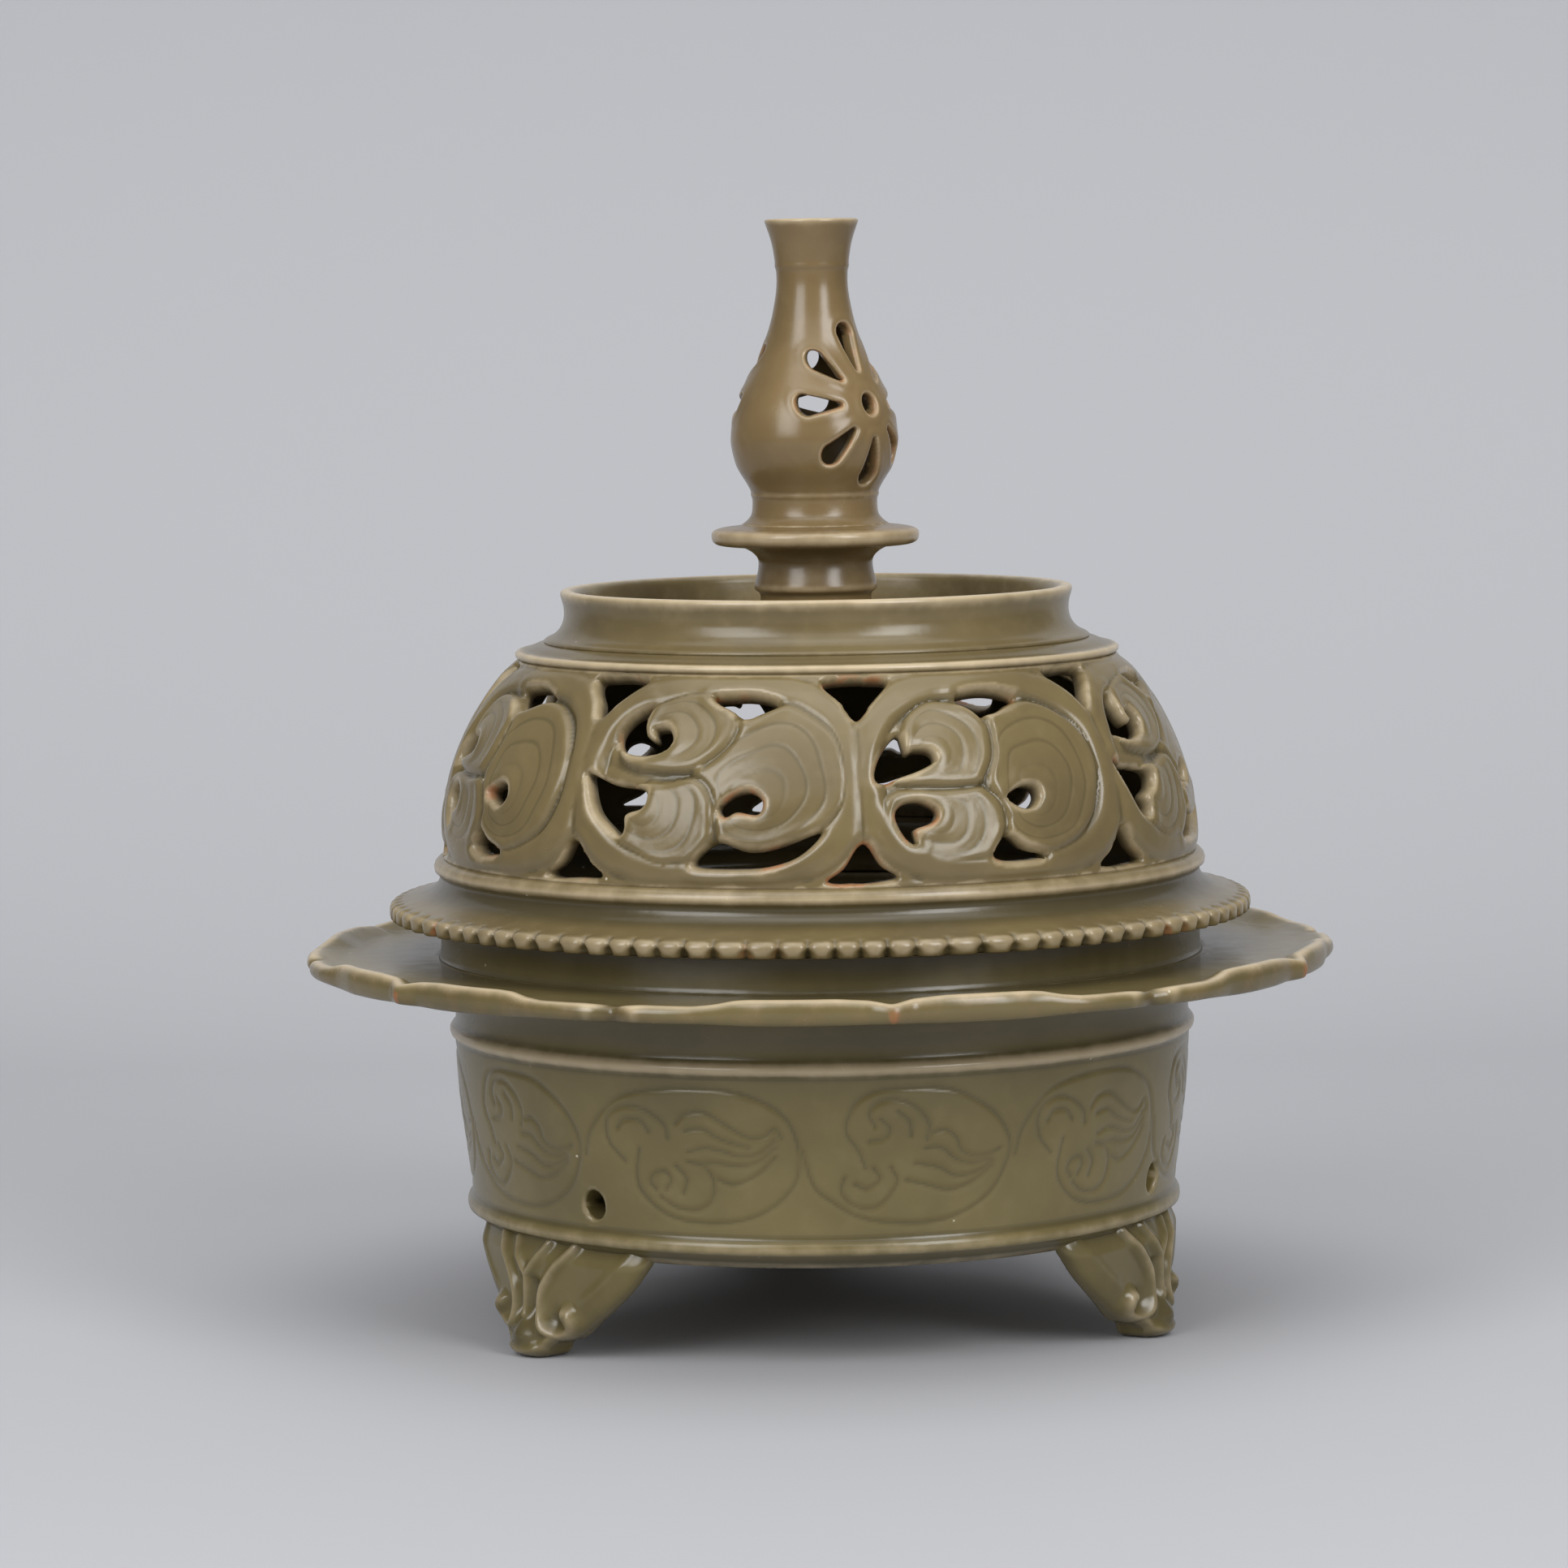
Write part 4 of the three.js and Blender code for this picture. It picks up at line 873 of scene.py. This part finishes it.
def dome_relief(turn, arc_share):
    """Height of the carving over the dome's outside, distance to the nearest hole, and growth lines."""
    pitch = 360 / MEDALLIONS
    height, level = np.full(turn.shape, -0.2), np.full(turn.shape, FAR)
    band, shown = np.zeros(turn.shape), np.zeros(turn.shape)
    y_all = (arc_share - 0.5) * FIELD_HEIGHT
    for number in range(MEDALLIONS):
        holes, lobes = MOTIFS[number % len(MOTIFS)]
        away = wrapped(turn - (FIRST_MEDALLION + number * pitch))
        near = np.abs(away) < pitch / 2 + 2
        x, y = away[near] / pitch * FIELD_WIDTH, y_all[near]
        shift = ripple(np.stack([x, y, np.full(x.shape, 31.0 * number)], -1), 16, SEED + 5)
        lift = ripple(np.stack([y, x, np.full(x.shape, 17.0 * number)], -1), 16, SEED + 6)
        x, y = x + shift * HAND_WAVER, y + lift * HAND_WAVER
        stem, within = stem_height(x, y)
        leaf = np.full(x.shape, -GROUND_DEPTH)
        own_band, own_shown = np.zeros(x.shape), np.zeros(x.shape)
        for eye, outline in lobes:
            edge, shape, count, clear = lobe_height(x, y, eye, outline)
            inside = edge > 0
            groove = 0.55 * smoothstep(leaf, -GROUND_DEPTH, -0.7)
            leaf = np.where(inside, np.maximum(shape, leaf - groove), leaf - groove * bell(edge, 0.8))
            own_band = np.where(inside, count, own_band)
            own_shown = np.where(inside, clear, own_shown)
        own = np.where(within, np.maximum(stem, leaf), stem)
        band[near] = np.where(within, own_band, band[near])
        shown[near] = np.where(within & (leaf > stem), own_shown, shown[near])
        beyond = np.abs(away[near]) > pitch / 2
        height[near] = np.where(beyond, np.maximum(height[near], -0.5), own)
        gap_x = np.where(x > 0, x - FIELD_WIDTH / 2, x + FIELD_WIDTH / 2)
        distance = level[near]
        for places, outlines in ((x, holes), (gap_x, GAPS)):
            for outline in outlines:
                distance = near_outline(places, y, spline(outline, 5), 5, distance)
        level[near] = np.minimum(level[near], distance)
    seam = ((turn - FIRST_MEDALLION) / pitch + 0.5) % 1
    height = height - 0.3 * bell(np.minimum(seam, 1 - seam) * FIELD_WIDTH, 1.3)
    border = 1 - smoothstep(np.minimum(arc_share, 1 - arc_share) * FIELD_HEIGHT, 0.3, 2)
    height = height * (1 - border) - 0.35 * border
    return height + 0.16 * bell(level - 2.1, 1.2) * (1 - border), level, band, shown


def openwork_dome():
    steps, rows = 960, 92
    fine = np.linspace(0, 1, 400)
    rise = DOME_TOP_Z - DOME_FOOT_Z
    radius_line = dome_radius(fine)
    arc = np.concatenate([[0], np.cumsum(np.hypot(np.diff(radius_line), np.diff(fine) * rise))])
    length = arc[-1]
    turn, arc_share = np.meshgrid(full_turn(steps), np.linspace(0, 1, rows))
    level = dome_relief(turn, arc_share)[1]
    per_degree = np.radians(dome_radius(np.interp(arc_share, arc / length, fine)))
    move_x, move_y, snapped = snap(level, 360 / steps * per_degree, length / (rows - 1), 0.5)
    move_y[[0, -1]] = 0
    turn = turn + move_x / per_degree
    arc_share = np.clip(arc_share + move_y / length, 0, 1)
    height, level, band, shown = dome_relief(turn, arc_share)
    distance = from_edge(level, snapped)
    height = height - 0.99 * rolled(distance, 1.1)
    share = np.interp(arc_share, arc / length, fine)
    lean = np.interp(share, fine, np.gradient(radius_line, fine * rise))
    surface, z = dome_radius(share), DOME_FOOT_Z + share * rise
    slant = np.hypot(1, lean)
    outer = polar(surface + height / slant, turn, z - height * lean / slant)
    depth = 0.4 * np.exp(-distance) - DOME_WALL
    inner = polar(surface + depth / slant, turn, np.minimum(z - depth * lean / slant, DOME_TOP_Z))
    rust = bell(distance, 0.5) * smoothstep(ripple(outer, 13, SEED + 7), 0.3, 1.2) * 0.9
    return join_sheets(outer, inner, snapped, {"rust": rust, "band": band, "shown": shown})


# Profiles of the pieces that are turned

LIP = [
    *offsets(LIP_RADIUS, LIP_Z, (-3.6, 0), (-1, 0), (0, 1)),
    *offsets(LIP_RADIUS, RIM_Z, (0, -1), (0, 0.2), (-3.6, 0.2)),
]
SHOULDER = [
    *offsets(0, DOME_TOP_Z, (BORE_RADIUS, -0.2), (40, -0.2)),
    *offsets(DOME_TOP, DOME_TOP_Z, (-2, -0.5), (-0.3, -0.4), (0.5, 0.3), (0.4, 1.2), (-0.9, 1.6),
             (-1.9, 1.5)),
    (DOME_TOP - 3.2, SHOULDER_Z - 0.9), *offsets(COLLAR_FOOT, SHOULDER_Z, (0.4, -0.1), (-4, 0)),
    *offsets(0, SHOULDER_Z, (40, 0), (9, 0), (BORE_RADIUS, 0)),
]
WAIST = COLLAR_FOOT - 4.4
COLLAR = [
    *offsets(WAIST, SHOULDER_Z, (-3.2, -0.3), (2, -0.3)),
    *offsets(COLLAR_FOOT, SHOULDER_Z, (0.1, -0.3), (0, 0.5)),
    *offsets(WAIST, SHOULDER_Z, (2.2, 1.4), (0.7, 3), (0, 5.2), (0.1, 7.4)),
    *offsets(WAIST, COLLAR_Z, (0.6, -1.7), (0.9, -0.7), (0.5, 0), (-0.9, 0.1), (-2.4, -0.3), (-3, -1.8)),
    (WAIST - 3.2, SHOULDER_Z + 2),
]
STEM = [
    *offsets(0, SHOULDER_Z - 0.2, (BORE_RADIUS, 0), (12.6, 0), (12.3, 1.2), (11.7, 3), (11.7, 8.6),
             (11.8, 9.8), (12.9, 10.4), (13, 11.4), (12.7, 12.6), (12.2, 14.4), (12, 16.4)),
    *offsets(0, DISC_Z + 0.3, (12.4, -2.4), (13.6, -1.3), (15.4, -0.4), (16.6, 0), (BORE_RADIUS, 0)),
]
DISC_MIDDLE = (DISC_Z + BOTTLE_Z) / 2
DISC = [
    (BORE_RADIUS, DISC_Z), (17, DISC_Z + 0.1), *offsets(DISC_RADIUS, DISC_Z, (-1.8, 0.2), (-0.2, 0.9)),
    (DISC_RADIUS + 0.1, DISC_MIDDLE), *offsets(DISC_RADIUS, BOTTLE_Z, (-0.1, -1.3), (-1.8, -0.6)),
    *offsets(0, BOTTLE_Z, (17, -0.3), (14.6, 0.2), (BORE_RADIUS, 0.2)),
]
BOTTLE_OUTSIDE = [
    *offsets(0, BOTTLE_Z, (15.6, 0), (14.5, 0.8), (13.5, 2), (13.2, 3.6), (13.2, 5.4), (13.55, 6.3),
             (13.5, 7), (14.3, 8.6), (16.3, 12), (17.5, 16.6), (17.55, 20), (16.7, 24.6), (15, 28.8),
             (12.6, 33.4), (10.6, 37.6), (9.1, 41.9), (8.2, 45.6), (7.55, 49.6), (7.5, 53), (7.8, 54.3),
             (7.8, 55.4), (8.3, 58.6)),
    *offsets(0, MOUTH_Z, (8.9, -3.4), (9.6, -1.4), (9.9, -0.5), (9.9, 0)),
]


# Finial bottle

def petal_distance(x, y, end):
    """Distance to one pierced petal along +Y: a round head and a pointed tail."""
    length = end - PETAL_HEAD_RADIUS - PETAL_START
    share = np.clip((y - PETAL_START) / length, 0, 1)
    return np.hypot(x, y - (PETAL_START + share * length)) - PETAL_HEAD_RADIUS * (0.2 + 0.8 * share**0.9)


def flower_distance(turn, z):
    """Distance to the nearest hole of the flowers pierced in the bottle."""
    around = np.radians(crossed(z, BOTTLE_OUTSIDE))
    nearest = np.full(turn.shape, FAR)
    for number in range(FLOWERS):
        x, y = wrapped(turn - FIRST_FLOWER - number * 360 / FLOWERS) * around, z - FLOWER_Z
        nearest = np.minimum(nearest, np.hypot(x, y * 0.9) - FLOWER_EYE_RADIUS)
        for petal, end in enumerate(PETAL_ENDS):
            lean = math.radians(360 * petal / len(PETAL_ENDS))
            c, s = math.cos(lean), math.sin(lean)
            nearest = np.minimum(nearest, petal_distance(x * c - y * s, x * s + y * c, end))
    return nearest


def pierced_bottle():
    steps = 420
    heights = np.linspace(BOTTLE_Z - 0.2, MOUTH_Z, 200)
    turn, z = np.meshgrid(full_turn(steps), heights)
    per_degree = np.radians(crossed(z, BOTTLE_OUTSIDE))
    step_z = heights[1] - heights[0]
    move_x, move_z, snapped = snap(flower_distance(turn, z), 360 / steps * per_degree, step_z, step_z)
    turn, z = turn + move_x / per_degree, np.clip(z + move_z, heights[0], heights[-1])
    distance = from_edge(flower_distance(turn, z), snapped)
    lip_round = 0.5 * rolled(MOUTH_Z - z, 0.5)
    outside = crossed(z, BOTTLE_OUTSIDE)
    radius = outside - 0.8 * rolled(distance, 0.8) + 0.1 * bell(distance - 1.3, 0.8) - lip_round
    radius = radius + ripple(polar(radius, turn, z), 26, SEED + 8) * 0.05
    inner = polar(np.maximum(outside - BOTTLE_WALL + lip_round, 4.4), turn, z)
    marks = {"rust": 0.35 * bell(distance, 0.4), "pale": 0.55 * bell(distance - 0.4, 0.42)}
    return join_sheets(polar(radius, turn, z), inner, snapped, marks)


# Legs

# Half of a leg, as arc from its middle and height
LEG_OUTLINE = [
    (0, 0), (3, 0), (5.1, 0.8), (6.3, 2.6), (8, 3.7), (10.6, 4.3), (13.2, 5.6), (17.5, 8.6), (21.3, 11.2),
    (26.2, 15.3), (30, 19.6), (32, 22.6), (32.6, LEG_TOP + 3), (32, LEG_TOP + 8), (10, LEG_TOP + 8),
]
LEG_SCROLL = spline([
    (13, 24), (10.4, 21.2), (7.6, 18.2), (5.2, 14.8), (4.3, 11.4), (4.7, 8), (6.5, 5.8), (9.2, 5.1),
    (11.9, 6.2), (13.2, 8.4), (12.5, 10.3), (10.9, 10.3),
], 6, closed=False)
LEG_BALL = (11.6, 8.7)
LEG_VEIN = [(0, 9), (0, 17), (2.6, 20), (5.4, 24)]
LEG_TOE_RIM = [(7.4, 4.6), (5.4, 2.3), (2.8, 1.3), (0, 1)]


def leg_relief(x, z, edge):
    """Height of the leg's moulding over its face, and how much of each place is rib."""
    side = np.abs(x)
    scroll, vein, toe_rim = (path_distance(side, z, path) for path in (LEG_SCROLL, LEG_VEIN, LEG_TOE_RIM))
    ribs = np.maximum(bell(scroll, 1.3), 0.85 * bell(vein, 1.15))
    ribs = np.maximum(ribs, 0.9 * bell(toe_rim, 1.3))
    ridge = 0.45 * bell(edge - 4.6, 1.3) * smoothstep(side, 13, 17)
    nose = 1.3 * bell(side, 9) + 2.4 * bell(side, 7) * bell(z - 2.6, 4.5)
    ball = 1.5 * bell(np.hypot(side - LEG_BALL[0], z - LEG_BALL[1]), 1.4)
    knob = 1.3 * bell(side, 3) * bell(z - 5.4, 2.4)
    channel = 1.1 * bell(side - 2.3, 1.3) * smoothstep(z, 7, 11) * (1 - smoothstep(z, 15, 18))
    eye = bell(side - 8.4, 2) * bell(z - 8.6, 2.4)
    fall = 2.6 * rolled(edge, 4.4) + 1.8 * smoothstep(z, 20, LEG_TOP)
    return 1.5 * ribs + ridge + nose + ball + knob - channel - eye - fall, ribs


def scroll_leg(angle):
    """A leg in the bowl's frame: a moulded front, rounded edges and a plain back."""
    across = np.linspace(-LEG_SPREAD - 0.6, LEG_SPREAD + 0.6, 200)
    heights = np.linspace(0, LEG_TOP + 0.2, 76)
    turn, z = np.meshgrid(across, heights)
    per_degree = math.radians(LEG_FACE)
    right = spline(LEG_OUTLINE, 4, closed=False)
    outline = np.concatenate([right, (right * [-1, 1])[::-1]])
    level = -outline_distance(turn * per_degree, z, outline)
    step_z = heights[1] - heights[0]
    move_x, move_z, snapped = snap(level, (across[1] - across[0]) * per_degree, step_z, step_z * 1.04)
    turn, z = turn + move_x / per_degree, np.clip(z + move_z, 0, heights[-1])
    x = turn * per_degree
    edge = from_edge(-outline_distance(x, z, outline), snapped)
    relief, ribs = leg_relief(x, z, edge)
    outer = polar(LEG_FACE + relief, turn + angle, z)
    back = LEG_BACK + 1.4 * smoothstep(np.abs(x), 9, 24) + 1.6 * rolled(edge, 3)
    # Darker between the ribs and most at the toe: glaze that pools, with painted shade in the hollows and on
    # the toe
    toe = bell(x, 7) * bell(z - 5, 5)
    marks = {"pale": 0.5 * ribs, "pooled_and_shaded": (0.25 + 0.5 * toe) * (1 - ribs)}
    return join_sheets(outer, polar(back, turn + angle, z), snapped, marks, wrap=False)


def build_burner():
    """Every piece, with soft rings of (radius, height, size, strength) where its glaze is made pale or dark,
    for thinned glaze and glaze that pools and for painted light and shade.
    """
    glazed_piece(
        "bowl_wall", "bowl", "bowl_glaze", bowl_wall(), edges=0.4,
        # Pale: thinned glaze on both ridges, with painted light on the high one where the flange shades it
        pale=[(WALL_TOP + 1, HIGH_RIDGE_Z, 1.5, 1), (WALL_BOTTOM + 0.8, LOW_RIDGE_Z - 0.3, 1.3, 0.42)],
        # Dark: painted shade on the foot's bevel and in the hollow under the flange
        dark=[(WALL_BOTTOM - 1.4, STAND_Z + 1.6, 2.1, 1), (WALL_TOP - 0.2, HIGH_RIDGE_Z + 6, 4, 0.45)],
    )
    # Painted shade on the mouth's wall under the cover's crimped flange
    shade_inside_mouth = [(MOUTH_OUTSIDE, RIM_Z - 3, 5, 0.55)]
    glazed_piece("bowl_mouth", "bowl", "bowl_glaze", lathe(MOUTH, 360, 0.8), dark=shade_inside_mouth)
    glazed_piece("bowl_floor", "bowl", "bowl_glaze", lathe(FLOOR, 240, 1.6, closed=False))
    # Painted shade and a painted dark reflection on the flange's plate next to the mouth
    shade_near_mouth = [(MOUTH_OUTSIDE, FLANGE_Z + FLANGE_THICKNESS, 13, 0.6)]
    glazed_piece(
        "foliate_flange", "bowl_flange", "flange_glaze", foliate_flange(), dark=shade_near_mouth, edges=0.5
    )
    shade = [(LEG_FACE, LEG_TOP, 4, 0.6), (LEG_FACE, 8, 16, 0.3), (LEG_FACE + 2, 1, 4, 0.5)]
    for node, angle in LEG_ANGLES.items():
        glazed_piece(f"scroll_{node}", node, "bowl_glaze", scroll_leg(angle), dark=shade, edges=0.5)

    glazed_piece(
        "crimped_flange", "cover_flange", "cover_glaze", crimped_flange(), edges=0.45,
        # Pale: thinned glaze on the dome's foot bead; dark: painted shade in the crease beneath it
        pale=[(DOME_FOOT + 1.6, RIM_Z + 10.9, 1.3, 0.68)], dark=[(DOME_FOOT + 0.4, RIM_Z + 8, 1.7, 0.95)],
    )
    glazed_piece("locating_lip", "cover_lip", "cover_glaze", lathe(LIP, 360, 0.8))
    glazed_piece("openwork_dome", "cover_dome", "cover_glaze", openwork_dome(), edges=0.52)
    glazed_piece(
        "shoulder_plate", "cover_shoulder", "cover_glaze", lathe(SHOULDER, 480, 0.7), edges=0.3,
        # Pale: thinned glaze on the dome's top bead; dark: painted shade in the groove at the collar's foot
        pale=[(DOME_TOP + 0.1, DOME_TOP_Z + 1, 1.2, 0.9)], dark=[(COLLAR_FOOT + 2, SHOULDER_Z - 0.6, 2, 0.4)],
    )
    glazed_piece(
        "upright_collar", "cover_collar", "cover_glaze", lathe(COLLAR, 480, 0.5), edges=0.3,
        # Pale: thinned glaze with a painted highlight on the lip, and painted light on the inner wall below
        # it
        pale=[(COLLAR_FOOT - 4.6, COLLAR_Z, 1.9, 1), (COLLAR_FOOT - 9, SHOULDER_Z + 7, 4.5, 0.3)],
        # Dark: darker low on the collar's outside
        dark=[(COLLAR_FOOT - 1, SHOULDER_Z + 4, 3.6, 0.3)],
    )
    # Pale: thinned glaze on the stem's ridge, and painted light on the stem where the disc shades it
    on_ring = [(12.9, SHOULDER_Z + 10.9, 1, 0.5), (12.1, SHOULDER_Z + 15, 5, 0.2)]
    glazed_piece("ringed_stem", "finial_stem", "finial_glaze", lathe(STEM, 260, 0.4), on_ring, edges=0.5)
    on_disc = [(DISC_RADIUS, DISC_MIDDLE, 2.4, 0.66)]
    glazed_piece("flat_disc", "finial_disc", "finial_glaze", lathe(DISC, 300, 0.4), on_disc, edges=0.45)
    on_bottle = [(9.5, MOUTH_Z, 1.2, 0.8), (13.55, BOTTLE_Z + 6.4, 0.9, 0.3)]
    glazed_piece("pierced_bottle", "finial_bottle", "finial_glaze", pierced_bottle(), on_bottle, edges=0.5)


# Stage, lights and camera

def paper(name, color, roughness):
    """Backdrop paper, which is clear from behind so that a view from there isn't blocked."""
    material = bpy.data.materials.new(name)
    nodes = Nodes(material)
    front = nodes.add("ShaderNodeBsdfPrincipled", {"Base Color": color, "Roughness": roughness}).outputs[0]
    back = nodes.add("ShaderNodeBsdfTransparent").outputs[0]
    behind = nodes.add("ShaderNodeNewGeometry").outputs["Backfacing"]
    shader = nodes.add("ShaderNodeMixShader", {0: behind, 1: front, 2: back})
    nodes.add("ShaderNodeOutputMaterial", {"Surface": shader.outputs[0]})
    return material


def backdrop():
    """A wide floor that curves up into a narrower wall behind the burner."""
    back, radius, front, tall = 0.75, 0.35, -3.0, 3.0
    floor_width, wall_width = 6.0, 1.5
    line = [(front, 0.0, floor_width), (0.2, 0.0, floor_width)]
    for step in range(17):
        bend = math.radians(90 * step / 16)
        line.append((back - radius + radius * math.sin(bend), radius - radius * math.cos(bend), wall_width))
    line.append((back, tall, wall_width))
    points = [(side * width / 2, y, z) for y, z, width in line for side in (-1, 1)]
    faces = [(2 * i, 2 * i + 1, 2 * i + 3, 2 * i + 2) for i in range(len(line) - 1)]
    mesh = bpy.data.meshes.new("studio_backdrop")
    mesh.from_pydata(points, [], faces)
    mesh.shade_smooth()
    mesh.materials.append(paper("grey_paper", PAPER, 0.8))
    sweep = bpy.data.objects.new("studio_backdrop", mesh)
    bpy.context.scene.collection.objects.link(sweep)


def softbox(name, azimuth, elevation, distance, size, watts):
    """A rectangular lamp that looks at the burner's middle."""
    lamp = bpy.data.lights.new(name, "AREA")
    lamp.shape = "RECTANGLE"
    lamp.size, lamp.size_y = size
    lamp.energy = watts
    bearing, rise = math.radians(azimuth), math.radians(elevation)
    aim = Vector((0, 0, 0.11))
    away = Vector((math.sin(bearing) * math.cos(rise), -math.cos(bearing) * math.cos(rise), math.sin(rise)))
    stand = bpy.data.objects.new(name, lamp)
    stand.location = aim + away * distance
    stand.rotation_euler = (-away).to_track_quat("-Z", "Y").to_euler()
    bpy.context.scene.collection.objects.link(stand)


def studio():
    softbox("left_window", -38, 27, 1.7, (0.8, 1.1), 15)
    softbox("right_window", 38, 27, 1.75, (0.6, 1.1), 16)
    softbox("front_top", 2, 54, 1.7, (2.4, 1.5), 12.5)
    softbox("overhead", 5, 84, 1.5, (1.8, 1.4), 11)
    world = bpy.data.worlds.new("studio")
    world.use_nodes = True
    sky = world.node_tree.nodes["Background"]
    sky.inputs["Color"].default_value = (1, 1, 1, 1)
    sky.inputs["Strength"].default_value = 0.18
    bpy.context.scene.world = world


def photo_camera():
    """The camera where the photograph was taken from."""
    pitch, yaw, roll = (math.radians(v) for v in (CAMERA_PITCH, CAMERA_YAW, CAMERA_ROLL))
    ahead = Vector((math.sin(yaw) * math.cos(pitch), math.cos(yaw) * math.cos(pitch), -math.sin(pitch)))
    right = Vector((math.cos(yaw), -math.sin(yaw), 0))
    up = right.cross(ahead)
    rolled_right = right * math.cos(roll) + up * math.sin(roll)
    rolled_up = up * math.cos(roll) - right * math.sin(roll)
    lens = bpy.data.cameras.new("photo_camera")
    lens.sensor_width = SENSOR_WIDTH
    lens.lens = FOCAL_PIXELS / PHOTO_PIXELS * SENSOR_WIDTH
    camera = bpy.data.objects.new("photo_camera", lens)
    turn = Matrix((rolled_right, rolled_up, -ahead)).transposed().to_4x4()
    camera.matrix_world = Matrix.Translation((0, -CAMERA_DISTANCE * MM, CAMERA_HEIGHT * MM)) @ turn
    bpy.context.scene.collection.objects.link(camera)
    bpy.context.scene.camera = camera


photo_camera()
build_burner()
backdrop()
studio()
bpy.context.scene.view_settings.view_transform = "Standard"
